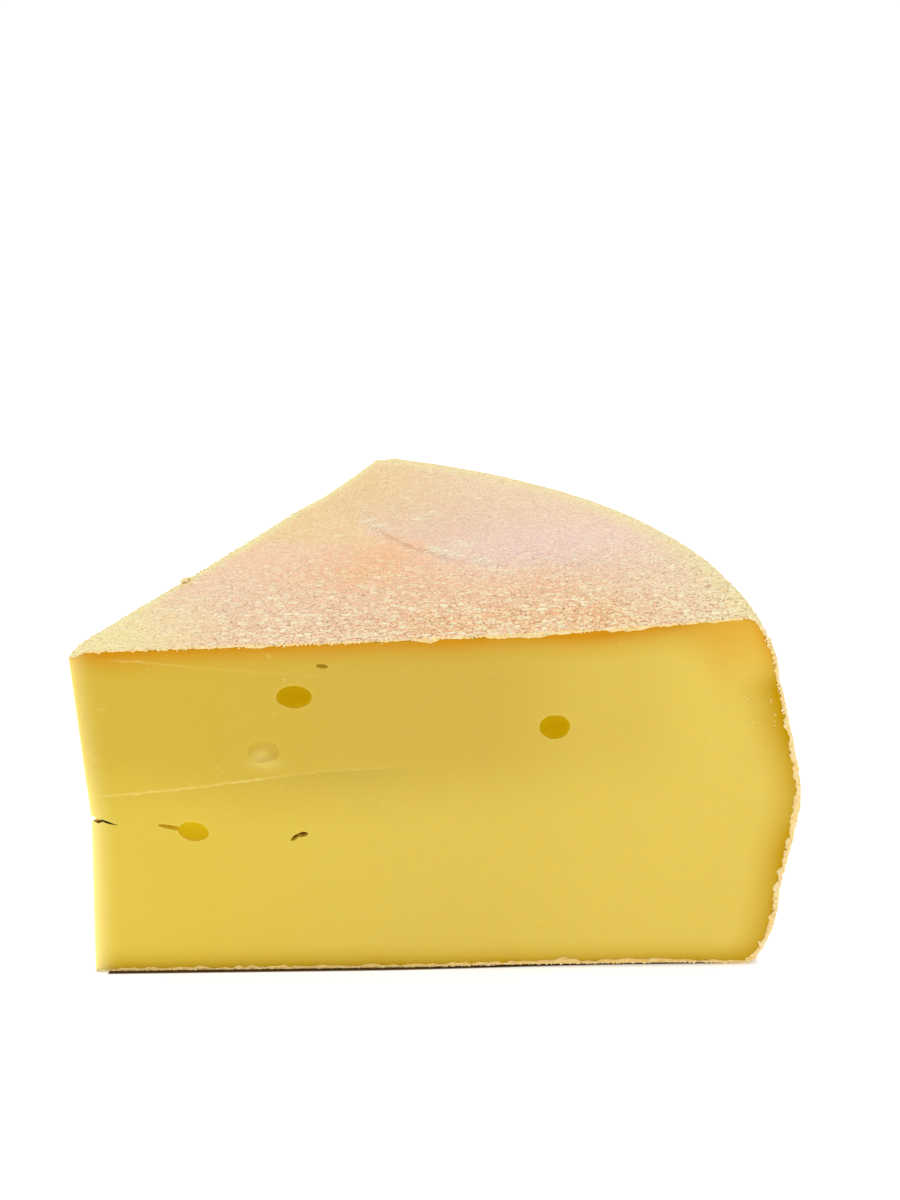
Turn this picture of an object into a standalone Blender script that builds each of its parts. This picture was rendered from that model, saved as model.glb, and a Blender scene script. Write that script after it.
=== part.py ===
"""A wedge of washed-rind mountain cheese, lying on its flat base.

The part is made as the real one is. A whole wheel is turned from its profile, its rind is
given its low swells, a wedge is cut out of it, and the eyes and the crack are opened in the
cut faces. Lengths are in metres and +Z is up. The wheel's axis is the wedge's tip, and the
front cut face lies in a plane of constant Y, facing -Y.
"""

import math

import bmesh
import bpy
from mathutils import Matrix, Vector, noise

MM = 0.001

# Driving dimensions of the wheel
WHEEL_RADIUS = 158.0 * MM
CENTRE_HEIGHT = 79.0 * MM
RIM_HEIGHT = 84.3 * MM
SHOULDER_RADIUS = 144.2 * MM

# Driving dimensions of the wedge
WEDGE_ANGLE = math.radians(65.6)
BEND_HEIGHT = 38.6 * MM
TIP_INSET_AT_BEND = 2.9 * MM
TIP_INSET_AT_TOP = 1.9 * MM

# The wheel's axis in the part's frame, whose origin is under the middle of the wedge
AXIS_X = -79.1 * MM
AXIS_Y = -72.0 * MM

# Fineness of the solid
WHEEL_STEPS = 240
ROW_LENGTH = 3.4 * MM
EYE_RINGS = 9
EYE_SEGMENTS = 16

# The heel from its shoulder down to the base: how far in from the widest radius, and how high
HEEL_OUTLINE = (
    (13.8 * MM, 84.3 * MM),
    (11.4 * MM, 83.4 * MM),
    (8.9 * MM, 79.6 * MM),
    (7.0 * MM, 75.6 * MM),
    (5.6 * MM, 69.5 * MM),
    (3.5 * MM, 60.6 * MM),
    (0.9 * MM, 49.0 * MM),
    (0.0 * MM, 40.6 * MM),
    (1.1 * MM, 31.5 * MM),
    (2.7 * MM, 22.6 * MM),
    (3.8 * MM, 12.6 * MM),
    (5.6 * MM, 6.0 * MM),
    (8.0 * MM, 1.3 * MM),
    (10.2 * MM, 0.0 * MM),
)

# Eyes, pits and slits: where each lies along its cut face and how high, half its width and
# half its height on the face, how deep it goes, how round it is inside and how it is turned
FRONT_EYES = (
    ("eye_high", 49.2, 67.6, 3.8, 2.6, 5.2, 0.45, 0.0),
    ("eye_middle", 104.7, 59.6, 3.25, 2.85, 5.0, 0.45, 0.0),
    ("eye_shallow", 41.8, 54.9, 3.4, 2.75, 1.3, -0.60, 0.0),
    ("eye_low", 25.2, 35.6, 3.4, 2.4, 4.2, 0.40, -8.0),
    ("eye_low_tail", 20.4, 36.7, 3.0, 0.55, 1.8, 0.0, -12.0),
    ("slit", 48.4, 34.2, 2.5, 0.7, 2.6, 0.0, 21.0),
    ("pit", 55.5, 74.6, 1.25, 0.55, 1.2, 0.0, -8.0),
)
BACK_EYES = (
    ("back_eye_outer", 112.0, 48.0, 3.3, 2.6, 4.8, 0.45, 0.0),
    ("back_eye_inner", 38.0, 26.5, 3.5, 2.7, 4.6, 0.40, 6.0),
    ("back_eye_small", 71.0, 62.5, 2.4, 1.9, 3.2, 0.30, 0.0),
    ("back_slit", 86.0, 24.0, 2.6, 0.7, 2.4, 0.0, -14.0),
)

# The crack at the tip, as points of its middle line on the front face and its height there
CRACK_LINE = ((-4.0, 39.0, 1.0), (4.6, 38.3, 0.7), (6.6, 38.2, 0.35), (8.6, 37.7, 0.12))
CRACK_REACH = 16.0 * MM

# A crease in the rind, where a paler, slightly higher skin begins
CREASE_LINE = ((53.0, 92.0), (58.5, 82.0), (63.5, 71.5), (74.0, 54.0), (86.0, 35.0), (99.0, 24.0))
CREASE_HEIGHT = 0.5 * MM
CREASE_WIDTH = 2.2 * MM
CREASE_FADE = 22.0 * MM


def clear_scene():
    """Empties the scene of the objects that it starts with."""
    for obj in list(bpy.data.objects):
        bpy.data.objects.remove(obj)


def new_collection(name):
    """Makes a collection in the scene."""
    collection = bpy.data.collections.new(name)
    bpy.context.scene.collection.children.link(collection)
    return collection


def new_object(name, bm, collection):
    """Turns a bmesh into an object of that collection."""
    mesh = bpy.data.meshes.new(name)
    bm.to_mesh(mesh)
    bm.free()
    obj = bpy.data.objects.new(name, mesh)
    collection.objects.link(obj)
    return obj


def as_cutter(obj):
    """Keeps a helper out of renders and draws it as wires."""
    obj.hide_render = True
    obj.display_type = "WIRE"
    return obj


def smooth_step(low, high, value):
    """0 below low, 1 above high and a smooth ramp between them."""
    t = max(0.0, min(1.0, (value - low) / (high - low)))
    return t * t * (3 - 2 * t)


def curve_through(points, spacing):
    """Points at about that spacing on a smooth curve through all the given ones."""
    ends = [points[0] * 2 - points[1], *points, points[-1] * 2 - points[-2]]
    line = []
    for before, start, end, after in zip(ends, ends[1:], ends[2:], ends[3:]):
        steps = max(1, round((end - start).length / spacing))
        for step in range(steps):
            t = step / steps
            line.append(
                0.5
                * (
                    2 * start
                    + (end - before) * t
                    + (2 * before - 5 * start + 4 * end - after) * t**2
                    + (3 * start - before - 3 * end + after) * t**3
                )
            )
    line.append(points[-1])
    return line


def top_height(radius):
    """The top is almost level round the centre and climbs towards the shoulder."""
    share = radius / SHOULDER_RADIUS
    return CENTRE_HEIGHT + (RIM_HEIGHT - CENTRE_HEIGHT) * (0.5 * share + 0.5 * share**4)


def wheel_profile():
    """The wheel's half section as (radius, height), from the top's centre to the base's."""
    rows = round(SHOULDER_RADIUS / ROW_LENGTH)
    top = [Vector((r, top_height(r))) for r in (SHOULDER_RADIUS * i / rows for i in range(rows))]
    outline = [Vector((WHEEL_RADIUS - inset, height)) for inset, height in HEEL_OUTLINE]
    return [*top, *curve_through(outline, ROW_LENGTH), Vector((0.0, 0.0))]


def lumps(point, size, seed):
    """Smooth noise from -1 to 1 whose lumps are about that large."""
    return noise.noise(point / size + Vector((seed, -seed, 2 * seed)))


def crease_lift(x, y):
    """The step up over the crease: it starts at the line and dies away behind it."""
    place = Vector((x, y))
    line = [Vector(p) * MM for p in CREASE_LINE]
    best = None
    for start, end in zip(line, line[1:]):
        run = end - start
        share = max(0.0, min(1.0, (place - start).dot(run) / run.length_squared))
        offset = place - (start + run * share)
        side = 1.0 if run.x * offset.y - run.y * offset.x > 0 else -1.0
        if best is None or offset.length < abs(best):
            best = side * offset.length
    rise = smooth_step(-CREASE_WIDTH / 2, CREASE_WIDTH / 2, best)
    behind = math.exp(-max(0.0, best) / CREASE_FADE)
    radius = place.length
    along = smooth_step(70 * MM, 90 * MM, radius) * (1 - smooth_step(102 * MM, 125 * MM, radius))
    return CREASE_HEIGHT * rise * behind * along


def rind_swell(place):
    """How far the rind stands out from the turned form at a point of the whole wheel."""
    clear_of_base = smooth_step(2 * MM, 9 * MM, place.z)
    radius = math.hypot(place.x, place.y)
    on_heel = smooth_step(140 * MM, 152 * MM, radius)
    stretched = Vector((place.x * 0.5, place.y * 0.5, place.z))
    heel = 0.40 * MM * lumps(stretched, 9 * MM, 3.0) + 0.18 * MM * lumps(place, 6 * MM, 5.0)
    top = 0.22 * MM * lumps(place, 24 * MM, 7.0) + 0.10 * MM * lumps(place, 9 * MM, 9.0)
    return clear_of_base * (on_heel * heel + (1 - on_heel) * top)


def turned_wheel(collection):
    """The whole wheel: its half section swept round the axis by a Screw modifier."""
    bm = bmesh.new()
    # The sweep starts part of a step off the front cut, so that no row of points lies in it.
    start = Matrix.Rotation(0.37 * math.tau / WHEEL_STEPS, 4, "Z")
    rim = [bm.verts.new(start @ Vector((p.x, 0.0, p.y))) for p in wheel_profile()]
    for upper, lower in zip(rim, rim[1:]):
        bm.edges.new((upper, lower))
    profile = as_cutter(new_object("wheel_profile", bm, collection))
    screw = profile.modifiers.new("turn", "SCREW")
    screw.steps = screw.render_steps = WHEEL_STEPS
    screw.use_merge_vertices = True
    screw.merge_threshold = 0.05 * MM
    bpy.context.view_layer.update()
    turned = profile.evaluated_get(bpy.context.evaluated_depsgraph_get())
    return bpy.data.meshes.new_from_object(turned)


def swell_rind(mesh):
    """Moves the wheel's surface out and in by its swells and lifts the skin behind the crease."""
    normals = [v.normal.copy() for v in mesh.vertices]
    for vertex, normal in zip(mesh.vertices, normals):
        place = vertex.co.copy()
        vertex.co += normal * rind_swell(place)
        if normal.z > 0.9 and place.y > 0:
            vertex.co.z += crease_lift(place.x, place.y)


def sector_block(collection):
    """The block that keeps the wedge: front side flat, the other side bent at the tip's crack."""
    reach = 1.4 * WHEEL_RADIUS
    far = Vector((reach * math.cos(WEDGE_ANGLE), reach * math.sin(WEDGE_ANGLE)))
    levels = (
        (-10 * MM, 0.0),
        (0.0, 0.0),
        (BEND_HEIGHT, TIP_INSET_AT_BEND),
        (CENTRE_HEIGHT, TIP_INSET_AT_TOP),
        (CENTRE_HEIGHT + 20 * MM, TIP_INSET_AT_TOP),
    )
    bm = bmesh.new()
    ring = [bm.verts.new((*c, levels[0][0])) for c in ((0, 0), (reach, 0), (reach, reach), far)]
    bm.faces.new(ring)
    for height, inset in levels[1:]:
        raised = [bm.verts.new((corner.co.x, corner.co.y, height)) for corner in ring]
        raised[0].co.x = inset
        for i in range(len(ring)):
            bm.faces.new((ring[i - 1], ring[i], raised[i], raised[i - 1]))
        ring = raised
    bm.faces.new(ring)
    bm.normal_update()
    bmesh.ops.recalc_face_normals(bm, faces=bm.faces)
    return as_cutter(new_object("sector_block", bm, collection))


def face_frame(turn):
    """Maps (along the cut face, into the cheese, up) to the wheel's frame."""
    if turn == 0.0:
        return Matrix.Identity(4)
    mirrored = Matrix.Diagonal((1.0, -1.0, 1.0, 1.0))
    return Matrix.Rotation(turn, 4, "Z") @ mirrored


def eye_cutter(spec, frame, collection):
    """An ellipsoid sunk in a cut face so that it opens there at the given width and height."""
    name, along, height, half_width, half_height, depth, roundness, tilt = spec
    # The middle lies this share of the half depth behind the face, or before it if negative.
    half_depth = depth / (1 + roundness)
    opening = math.sqrt(1 - roundness**2)
    bm = bmesh.new()
    bmesh.ops.create_uvsphere(bm, u_segments=EYE_SEGMENTS, v_segments=EYE_RINGS, radius=MM)
    size = Vector((half_width / opening, half_depth, half_height / opening))
    middle = Vector((along, roundness * half_depth, height)) * MM
    place = frame @ Matrix.Translation(middle) @ Matrix.Rotation(math.radians(-tilt), 4, "Y")
    # The sphere's poles lie along the way in, so that its rings run round the opening.
    poles = Matrix.Rotation(math.radians(90), 4, "X")
    bm.transform(place @ Matrix.Diagonal((*size, 1.0)) @ poles)
    bm.normal_update()
    bmesh.ops.recalc_face_normals(bm, faces=bm.faces)
    return as_cutter(new_object(name, bm, collection))


def crack_cutter(collection):
    """A thin tapering blade that splits the tip at its bend."""
    upper = [Vector((x, -1.0, z + thick / 2)) * MM for x, z, thick in CRACK_LINE]
    lower = [Vector((x, -1.0, z - thick / 2)) * MM for x, z, thick in reversed(CRACK_LINE)]
    bm = bmesh.new()
    side = bm.faces.new([bm.verts.new(p) for p in (*upper, *lower)])
    made = bmesh.ops.extrude_face_region(bm, geom=[side])
    moved = [v for v in made["geom"] if isinstance(v, bmesh.types.BMVert)]
    bmesh.ops.translate(bm, verts=moved, vec=(0, CRACK_REACH, 0))
    bm.normal_update()
    bmesh.ops.recalc_face_normals(bm, faces=bm.faces)
    return as_cutter(new_object("tip_crack", bm, collection))


def add_boolean(obj, other, operation):
    """Cuts obj by other, with the exact solver."""
    modifier = obj.modifiers.new(other.name, "BOOLEAN")
    modifier.operation = operation
    modifier.solver = "EXACT"
    modifier.object = other


def cheese_material():
    """Pale yellow paste, as the solid's one colour."""
    material = bpy.data.materials.new("cheese")
    material.use_nodes = True
    shader = material.node_tree.nodes["Principled BSDF"]
    shader.inputs["Base Color"].default_value = (0.77, 0.55, 0.09, 1.0)
    shader.inputs["Roughness"].default_value = 0.5
    shader.inputs["Metallic"].default_value = 0.0
    return material


def main():
    clear_scene()
    parts = new_collection("mountain_cheese_wedge")
    cutters = new_collection("cutters")
    wheel = turned_wheel(cutters)
    swell_rind(wheel)
    wedge = bpy.data.objects.new("cheese_wedge", wheel)
    parts.objects.link(wedge)
    wedge.data.materials.append(cheese_material())
    wedge.data.shade_smooth()
    wedge.data.set_sharp_from_angle(angle=math.radians(35))
    wheel_axis = (AXIS_X, AXIS_Y, 0.0)
    tools = [(sector_block(cutters), "INTERSECT")]
    for specs, frame in ((FRONT_EYES, face_frame(0.0)), (BACK_EYES, face_frame(WEDGE_ANGLE))):
        tools += [(eye_cutter(spec, frame, cutters), "DIFFERENCE") for spec in specs]
    tools.append((crack_cutter(cutters), "DIFFERENCE"))
    for tool, operation in tools:
        add_boolean(wedge, tool, operation)
        tool.location = wheel_axis
    wedge.location = wheel_axis
    bpy.data.objects["wheel_profile"].location = wheel_axis


main()
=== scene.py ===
# %% [markdown]
# # A wedge of washed-rind mountain cheese
# The wedge has two finishes: the paste, which is the smooth and slightly see-through cheese
# that a knife has cut, and the rind, which is its own dried and grainy skin. They meet at an
# edge that crumbles. Each finish is a piece of its own here, because they have different
# detail, and crumbs lie on both.

# %% Load the frame
import math
import random

import bmesh
import bpy
from mathutils import Matrix, Vector, noise
from mathutils.bvhtree import BVHTree


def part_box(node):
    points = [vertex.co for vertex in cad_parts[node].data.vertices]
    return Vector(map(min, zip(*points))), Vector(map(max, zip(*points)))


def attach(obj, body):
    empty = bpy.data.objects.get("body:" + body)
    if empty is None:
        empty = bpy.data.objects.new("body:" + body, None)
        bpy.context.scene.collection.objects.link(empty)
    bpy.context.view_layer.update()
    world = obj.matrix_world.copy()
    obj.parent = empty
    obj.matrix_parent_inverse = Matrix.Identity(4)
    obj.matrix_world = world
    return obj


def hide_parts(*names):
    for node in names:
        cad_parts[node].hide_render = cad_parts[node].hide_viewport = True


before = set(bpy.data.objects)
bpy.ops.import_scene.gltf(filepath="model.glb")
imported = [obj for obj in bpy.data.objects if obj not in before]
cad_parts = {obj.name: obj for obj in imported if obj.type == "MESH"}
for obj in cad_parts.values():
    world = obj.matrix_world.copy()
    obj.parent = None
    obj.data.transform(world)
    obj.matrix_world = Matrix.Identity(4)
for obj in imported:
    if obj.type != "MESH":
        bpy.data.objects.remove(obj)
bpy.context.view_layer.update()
NODE = "cheese_wedge"
BOX_LOW, BOX_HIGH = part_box(NODE)
print("the wedge is", [round(side * 1000, 1) for side in BOX_HIGH - BOX_LOW], "mm")

# %% [markdown]
# ## The wheel and the cut
# The wedge comes from a wheel, so everything is worked out round the wheel's axis. The axis
# stands in the low corner of the wedge's box, and one cut face runs from there along X. The
# other cut face is turned from it by the wedge's angle.

# %% The wheel's sizes
MM = 0.001
AXIS_PLACE = Vector((BOX_LOW.x, BOX_LOW.y, 0.0))
WHEEL_RADIUS = 158.0 * MM
CENTRE_HEIGHT = 79.0 * MM
RIM_HEIGHT = 84.3 * MM
SHOULDER_RADIUS = 144.2 * MM
WEDGE_ANGLE = math.radians(65.6)

# The heel from its shoulder to the base: how far in from the widest radius, and how high
HEEL_OUTLINE = (
    (13.8 * MM, 84.3 * MM),
    (11.7 * MM, 83.3 * MM),
    (9.3 * MM, 79.5 * MM),
    (7.5 * MM, 75.5 * MM),
    (6.2 * MM, 69.5 * MM),
    (4.1 * MM, 60.6 * MM),
    (1.5 * MM, 49.0 * MM),
    (0.7 * MM, 40.6 * MM),
    (1.8 * MM, 31.5 * MM),
    (3.2 * MM, 22.6 * MM),
    (4.1 * MM, 12.6 * MM),
    (5.6 * MM, 6.0 * MM),
    (8.0 * MM, 1.3 * MM),
    (10.2 * MM, 0.0 * MM),
)

# %% [markdown]
# ## The camera
# The camera comes early, so that every try of the script can be set against the photograph.
# Its place was found from the wedge's corners: a 48 mm lens, 20 degrees above the horizon.

# %% Camera
CAMERA_PLACE = Vector((10.1, -383.9, 205.3)) * MM
CAMERA_TURN = math.radians(1.154)
CAMERA_DOWN = math.radians(20.438)
CAMERA_ROLL = math.radians(-1.378)
CAMERA_LENS = 48.0

camera_data = bpy.data.cameras.new("camera")
camera_data.lens = CAMERA_LENS
camera_data.clip_start = 0.01
camera = bpy.data.objects.new("camera", camera_data)
bpy.context.scene.collection.objects.link(camera)
aim = (
    Matrix.Rotation(CAMERA_TURN, 4, "Z")
    @ Matrix.Rotation(math.radians(90) - CAMERA_DOWN, 4, "X")
    @ Matrix.Rotation(CAMERA_ROLL, 4, "Z")
)
camera.matrix_world = Matrix.Translation(CAMERA_PLACE) @ aim
bpy.context.scene.camera = camera

# %% [markdown]
# ## The wheel's half section
# A wheel of cheese is round, so one half section describes it. The top climbs a little from
# the middle to the shoulder, and the heel bulges and swings back under to the flat base. The
# curve passes through a few measured points, and a Catmull-Rom formula rounds it between them.


# %% Profile helpers
def smooth_step(low, high, value):
    """0 below low, 1 above high and a smooth ramp between them."""
    t = max(0.0, min(1.0, (value - low) / (high - low)))
    return t * t * (3 - 2 * t)


def curve_through(points, spacing):
    """Points at about that spacing on a smooth curve through all the given ones."""
    ends = [points[0] * 2 - points[1], *points, points[-1] * 2 - points[-2]]
    line = []
    for before, start, end, after in zip(ends, ends[1:], ends[2:], ends[3:]):
        steps = max(1, round((end - start).length / spacing))
        for step in range(steps):
            t = step / steps
            line.append(
                0.5
                * (
                    2 * start
                    + (end - before) * t
                    + (2 * before - 5 * start + 4 * end - after) * t**2
                    + (3 * start - before - 3 * end + after) * t**3
                )
            )
    line.append(points[-1])
    return line


def top_height(radius):
    """How high the top stands at that radius."""
    share = radius / SHOULDER_RADIUS
    return CENTRE_HEIGHT + (RIM_HEIGHT - CENTRE_HEIGHT) * (0.5 * share + 0.5 * share**4)


heel_curve = curve_through([Vector((WHEEL_RADIUS - i, z)) for i, z in HEEL_OUTLINE], 0.8 * MM)


def heel_radius(height):
    """The wheel's radius at that height, read off the heel's curve."""
    if height >= heel_curve[0].y:
        return heel_curve[0].x
    for upper, lower in zip(heel_curve, heel_curve[1:]):
        if lower.y <= height <= upper.y and upper.y > lower.y:
            share = (upper.y - height) / (upper.y - lower.y)
            return upper.x + (lower.x - upper.x) * share
    return heel_curve[-1].x


# %% [markdown]
# ## Moving finished shapes to their place
# The wedge isn't a perfect sector. Its tip leans back above the middle, where the knife was
# turned. So each piece is first made as a perfect sector round the axis, which is easy, and
# then all pieces get one and the same gentle shear. It is largest at the tip and ends at the
# heel, so they still fit each other afterwards.

# %% The tip's lean
BEND_HEIGHT = 38.6 * MM
TIP_INSET_AT_BEND = 2.9 * MM
TIP_INSET_AT_TOP = 1.9 * MM
LEAN_REACH = 221.0 * MM
CORNER_SAG = 0.9 * MM
CORNER_WIDTH = 6.0 * MM
TIP_SAG = 1.3 * MM
TIP_WIDTH = 2.6 * MM


def tip_inset(height):
    """How far the tip's edge stands back from the wheel's axis at that height."""
    if height < BEND_HEIGHT:
        return TIP_INSET_AT_BEND * max(0.0, height) / BEND_HEIGHT
    share = min(1.0, (height - BEND_HEIGHT) / (CENTRE_HEIGHT - BEND_HEIGHT))
    return TIP_INSET_AT_BEND + (TIP_INSET_AT_TOP - TIP_INSET_AT_BEND) * share


def corner_sag(place):
    """How far the skin hangs at the tip and at the far corner, as cut corners do."""
    reach = math.hypot(place.x, place.y)
    tip = TIP_SAG * math.exp(-((reach / TIP_WIDTH) ** 2)) * (place.z / CENTRE_HEIGHT) ** 8
    aside = place.x * math.sin(WEDGE_ANGLE) - place.y * math.cos(WEDGE_ANGLE)
    near_cut = 1 - smooth_step(0, CORNER_WIDTH, aside)
    outside = smooth_step(96 * MM, 116 * MM, reach)
    return tip + CORNER_SAG * near_cut * outside * (place.z / CENTRE_HEIGHT) ** 2


def lean(place):
    """A point of the perfect sector, moved to where the real wedge has it."""
    reach = math.hypot(place.x, place.y)
    shift = tip_inset(place.z) * max(0.0, 1 - reach / LEAN_REACH)
    return Vector((place.x + shift, place.y, place.z - corner_sag(place)))


def finish_piece(name, bm, smooth_angle=None):
    """Makes the bmesh an object in the row's frame that rides with the wedge."""
    bmesh.ops.translate(bm, verts=bm.verts, vec=AXIS_PLACE)
    mesh = bpy.data.meshes.new(name)
    bm.to_mesh(mesh)
    bm.free()
    mesh.shade_smooth()
    if smooth_angle is not None:
        mesh.set_sharp_from_angle(angle=smooth_angle)
    piece = bpy.data.objects.new(name, mesh)
    bpy.context.scene.collection.objects.link(piece)
    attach(piece, "root")
    triangles = sum(len(face.vertices) - 2 for face in mesh.polygons)
    print(name, "has", triangles, "triangles")
    return piece


# %% [markdown]
# ## The rind's relief
# The skin has relief of three sizes. Broad swells come from the cloth and the board that the
# wheel ripened on. A crease crosses the top, and the skin behind it stands a little higher.
# Last come dry flakes, about a millimetre wide, which are sharpest near the front cut and
# fade towards the back, where the skin is still moist and closed.

# %% Swells and the crease
CREASE_LINE = (
    (53.0, 92.0),
    (58.5, 80.0),
    (63.9, 69.2),
    (69.8, 60.4),
    (79.8, 49.2),
    (92.5, 38.5),
    (107.0, 29.5),
)
CREASE_HEIGHT = 0.5 * MM
CREASE_WIDTH = 2.2 * MM
CREASE_FADE = 22.0 * MM


def lumps(point, size, seed):
    """Smooth noise from -1 to 1 whose lumps are about that large."""
    return noise.noise(point / size + Vector((seed, -seed, 2 * seed)))


crease_points = [(x * MM, z * MM) for x, z in CREASE_LINE]


def crease_side(x, y):
    """The signed distance to the crease: positive on the side of the heel."""
    best = None
    for (x0, y0), (x1, y1) in zip(crease_points, crease_points[1:]):
        run_x, run_y = x1 - x0, y1 - y0
        share = ((x - x0) * run_x + (y - y0) * run_y) / (run_x**2 + run_y**2)
        share = max(0.0, min(1.0, share))
        off_x, off_y = x - x0 - run_x * share, y - y0 - run_y * share
        away = math.hypot(off_x, off_y)
        if best is None or away < abs(best):
            best = away if run_x * off_y - run_y * off_x > 0 else -away
    return best


def crease_strength(x, y):
    """The crease starts near the second cut and dies away towards the front one."""
    return smooth_step(38 * MM, 56 * MM, y) * (1 - smooth_step(66 * MM, 78 * MM, y))


def crease_lift(x, y):
    """The step up over the crease: it starts at the line and dies away behind it."""
    side = crease_side(x, y)
    rise = smooth_step(-CREASE_WIDTH / 2, CREASE_WIDTH / 2, side)
    behind = math.exp(-max(0.0, side) / CREASE_FADE)
    return CREASE_HEIGHT * rise * behind * crease_strength(x, y)


def rind_swell(place):
    """How far the rind stands out from the turned form."""
    clear_of_base = smooth_step(2 * MM, 9 * MM, place.z)
    radius = math.hypot(place.x, place.y)
    on_heel = smooth_step(140 * MM, 152 * MM, radius)
    stretched = Vector((place.x * 0.5, place.y * 0.5, place.z))
    heel = 0.34 * MM * lumps(stretched, 9 * MM, 3.0) + 0.24 * MM * lumps(place, 3.4 * MM, 5.0)
    top = 0.22 * MM * lumps(place, 24 * MM, 7.0) + 0.10 * MM * lumps(place, 9 * MM, 9.0)
    return clear_of_base * (on_heel * heel + (1 - on_heel) * top)


# %% Flakes
FLAKE_SIZE = 1.7 * MM
FLAKE_HEIGHT = 0.16 * MM


def flake_amount(place):
    """How strongly the skin flakes at a point of the sector."""
    along_front = 1 - smooth_step(4 * MM, 62 * MM, place.y)
    patches = 0.5 + 0.5 * lumps(place, 14 * MM, 21.0)
    if place.z < 60 * MM or math.hypot(place.x, place.y) > 149 * MM:
        return 0.55 + 0.35 * patches
    at_tip = 1 - 0.55 * smooth_step(52 * MM, 16 * MM, math.hypot(place.x, place.y))
    return at_tip * min(1.0, 0.32 + 0.80 * along_front * (0.6 + 0.4 * patches))


def flake_shape(place):
    """From 0 in a gap between flakes to 1 on a high flake."""
    wobble = noise.noise_vector(place / (3 * MM)) * 0.35
    near, points = noise.voronoi(place / FLAKE_SIZE + wobble)
    plateau = smooth_step(0.03, 0.33, near[1] - near[0])
    lift = 0.5 + 0.5 * noise.cell(points[0] * 7.3)
    return plateau * (0.25 + 0.75 * lift)


# %% [markdown]
# ## The rind's colours
# The rind is cream near the tip and along its edges, salmon in the middle of the front, and pale with one faint
# mauve patch behind the crease. Along the second cut and over the shoulder its straw is partly a painted glow of
# those rims. These are broad soft patches, so they are painted on the mesh as an attribute, and the material
# adds the fine grain, whose dark gaps and pale plates are partly painted shade and highlight.

# %% Patches of colour on the top
CREAM = Vector((0.93, 0.77, 0.38))
SALMON = Vector((1.0, 0.685, 0.465))
ORANGE = Vector((0.99, 0.575, 0.30))
PALE = Vector((0.91, 0.655, 0.47))
SAND = Vector((0.945, 0.685, 0.345))
RIM = Vector((0.99, 0.75, 0.52))
MAUVE = Vector((0.985, 0.695, 0.655))
STRAW_AND_GLOW = Vector((1.0, 0.89, 0.43))
TORN = Vector((0.94, 0.86, 0.62))
EDGE_GOLD = Vector((0.98, 0.70, 0.25))
BASE_GOLD = Vector((0.95, 0.63, 0.17))
CRUST_CREAM = Vector((1.0, 0.85, 0.50))
# Painted shade for the line of the crease.
CREASE_SHADE = Vector((0.40, 0.20, 0.09))
TORN_SPOTS = (
    (60.0, 79.3, 1.7, 14),
    (62.6, 75.2, 1.6, 12),
    (73.0, 79.2, 1.6, 7),
    (76.2, 83.4, 1.8, 8),
    (77.3, 54.4, 2.2, 12),
    (81.6, 52.0, 2.4, 16),
    (84.5, 58.0, 2.4, 8),
    (89.3, 47.1, 2.4, 13),
    (94.5, 38.0, 2.2, 7),
)


def patch(x, y, middle, reach_x, reach_y):
    """A soft round patch: 1 in its middle and 0 far away."""
    dx = (x - middle[0] * MM) / (reach_x * MM)
    dy = (y - middle[1] * MM) / (reach_y * MM)
    return math.exp(-dx * dx - dy * dy)


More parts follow.
